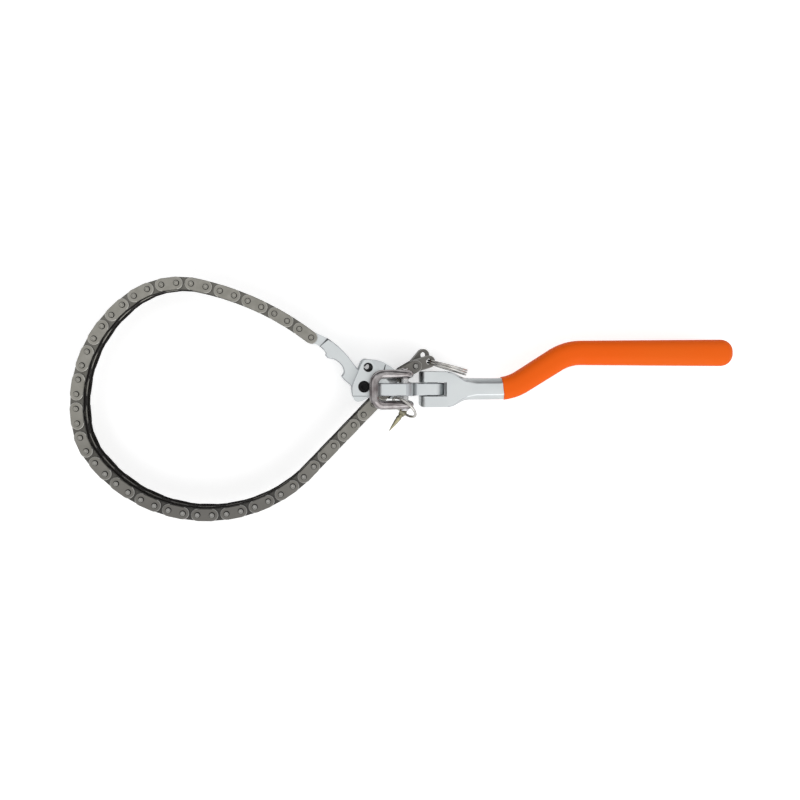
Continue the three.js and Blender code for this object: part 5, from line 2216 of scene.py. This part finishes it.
@dataclass
class Studio:
    """The pale floor, the soft sky, the lamps and the camera, in metres.

    The floor glows for the camera alone, and fainter for what mirrors it, so that it is nearly
    white and yet keeps the wrench's shadow.
    """

    camera_place: Triple = (-0.0301, 0.0192, 0.6407)
    camera_direction: Triple = (0.0734, -0.0539, -0.9958)
    sensor_width: float = 36.0
    focal_share: float = 923 / 800
    floor_reach: float = 3.0
    floor_drop: float = 0.0003
    floor_colour: Colour = (0.86, 0.86, 0.86, 1)
    floor_roughness: float = 0.9
    floor_glow: float = 0.45
    mirrored_glow: float = 0.12
    sky_strength: float = 0.9
    sky_bright_way: Triple = (0.12, -0.48, 0.87)
    sky_bright_from: float = 0.6
    sky_bright: Colour = (1, 1, 1, 1)
    sky_dark: Colour = (0.16, 0.16, 0.17, 1)
    sky_seen: Colour = (1.12, 1.12, 1.12, 1)
    lamp_target: Triple = (-0.03, 0, 0)
    lamps: tuple[Softbox, ...] = (
        Softbox("upper_left_softbox", (-0.55, 0.5, 0.9), 1.1, 1.7),
        Softbox("near_side_softbox", (0.35, -0.8, 0.8), 1.05, 3.6),
        Softbox("far_right_softbox", (0.66, 0.56, 0.42), 0.45, 0.5),
    )

    def floor(self) -> None:
        """A pale floor that keeps the wrench's shadow."""
        mesh = bpy.data.meshes.new("studio_floor")
        reach, low = self.floor_reach, CAD_BOX[0][2] - self.floor_drop
        corners = [
            (-reach, -reach, low), (reach, -reach, low), (reach, reach, low), (-reach, reach, low),
        ]
        mesh.from_pydata(corners, [], [(0, 1, 2, 3)])
        recipe = Recipe("pale_floor")
        recipe.shader.inputs["Base Color"].default_value = self.floor_colour
        recipe.shader.inputs["Roughness"].default_value = self.floor_roughness
        recipe.shader.inputs["Specular IOR Level"].default_value = 0.0
        rays = recipe.node("ShaderNodeLightPath")
        mirrored = recipe.spread(rays.outputs["Is Glossy Ray"], 0.0, self.mirrored_glow, 0, 1)
        glow = recipe.node("ShaderNodeMath", operation="MULTIPLY_ADD")
        recipe.link(rays.outputs["Is Camera Ray"], glow.inputs[0])
        glow.inputs[1].default_value = self.floor_glow
        recipe.link(mirrored, glow.inputs[2])
        recipe.shader.inputs["Emission Color"].default_value = (1, 1, 1, 1)
        recipe.link(glow.outputs[0], recipe.shader.inputs["Emission Strength"])
        mesh.materials.append(recipe.material)
        floor = bpy.data.objects.new("studio_floor", mesh)
        bpy.context.scene.collection.objects.link(floor)

    def world(self) -> None:
        """A soft sky, bright above and on the near side, and white where the camera sees it."""
        world = bpy.data.worlds.new("studio_sky")
        bpy.context.scene.world = world
        world.use_nodes = True
        kit = NodeKit(world.node_tree)
        background = kit.tree.nodes["Background"]
        facing = kit.node("ShaderNodeVectorMath", operation="DOT_PRODUCT")
        facing.inputs[1].default_value = Vector(self.sky_bright_way).normalized()
        kit.link(kit.coordinates["Generated"], facing.inputs[0])
        ramp = kit.node("ShaderNodeValToRGB")
        stops = ((0.0, self.sky_dark), (self.sky_bright_from, self.sky_bright))
        for element, (position, colour) in zip(ramp.color_ramp.elements, stops):
            element.position = position
            element.color = colour
        kit.link(facing.outputs["Value"], ramp.inputs["Fac"])
        rays = kit.node("ShaderNodeLightPath")
        seen = kit.blend(rays.outputs["Is Camera Ray"], ramp.outputs["Color"], self.sky_seen)
        kit.link(seen, background.inputs["Color"])
        background.inputs["Strength"].default_value = self.sky_strength

    def camera(self) -> None:
        """The camera at the photograph's viewpoint."""
        data = bpy.data.cameras.new("camera")
        data.sensor_width = self.sensor_width
        data.lens = self.sensor_width * self.focal_share
        camera = bpy.data.objects.new("camera", data)
        forward = Vector(self.camera_direction).normalized()
        right = forward.cross(Vector((0, 1, 0))).normalized()
        up = right.cross(forward)
        camera.matrix_world = square_basis(right, up, -forward, self.camera_place)
        bpy.context.scene.collection.objects.link(camera)
        bpy.context.scene.camera = camera

    def build(self) -> None:
        """Builds the studio."""
        bpy.context.scene.view_settings.view_transform = "Standard"
        self.floor()
        self.world()
        for lamp in self.lamps:
            lamp.set_up(Vector(self.lamp_target))
        self.camera()


def main() -> None:
    """Builds the studio and the wrench, piece by piece."""
    logging.basicConfig(level=logging.INFO, format="%(name)s: %(message)s")
    Studio().build()
    low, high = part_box("jaw_pivot_pin")
    workshop = Workshop(Finishes(), (low + high) / 2)
    route = ChainRoute()
    chain = DuplexChain(workshop, route)
    head = Head(workshop, route, chain.half_width, chain.strand_offset)
    chain.build()
    head.build()
    JawArm(workshop, route, head.arm_half, chain.outer_inside - chain.clearance).build()
    ForkHandle(workshop).build()
    Shackle(workshop).build()
    block_half = chain.roller_length / 2 + chain.inner_plate
    PullRing(workshop, route, chain.strand_offset, block_half).build()
    left = sorted(set(frame["nodes"]) - set(workshop.made))
    log.info("pieces made: %d, plain nodes left: %s", len(workshop.made), left)


if __name__ == "__main__":
    main()
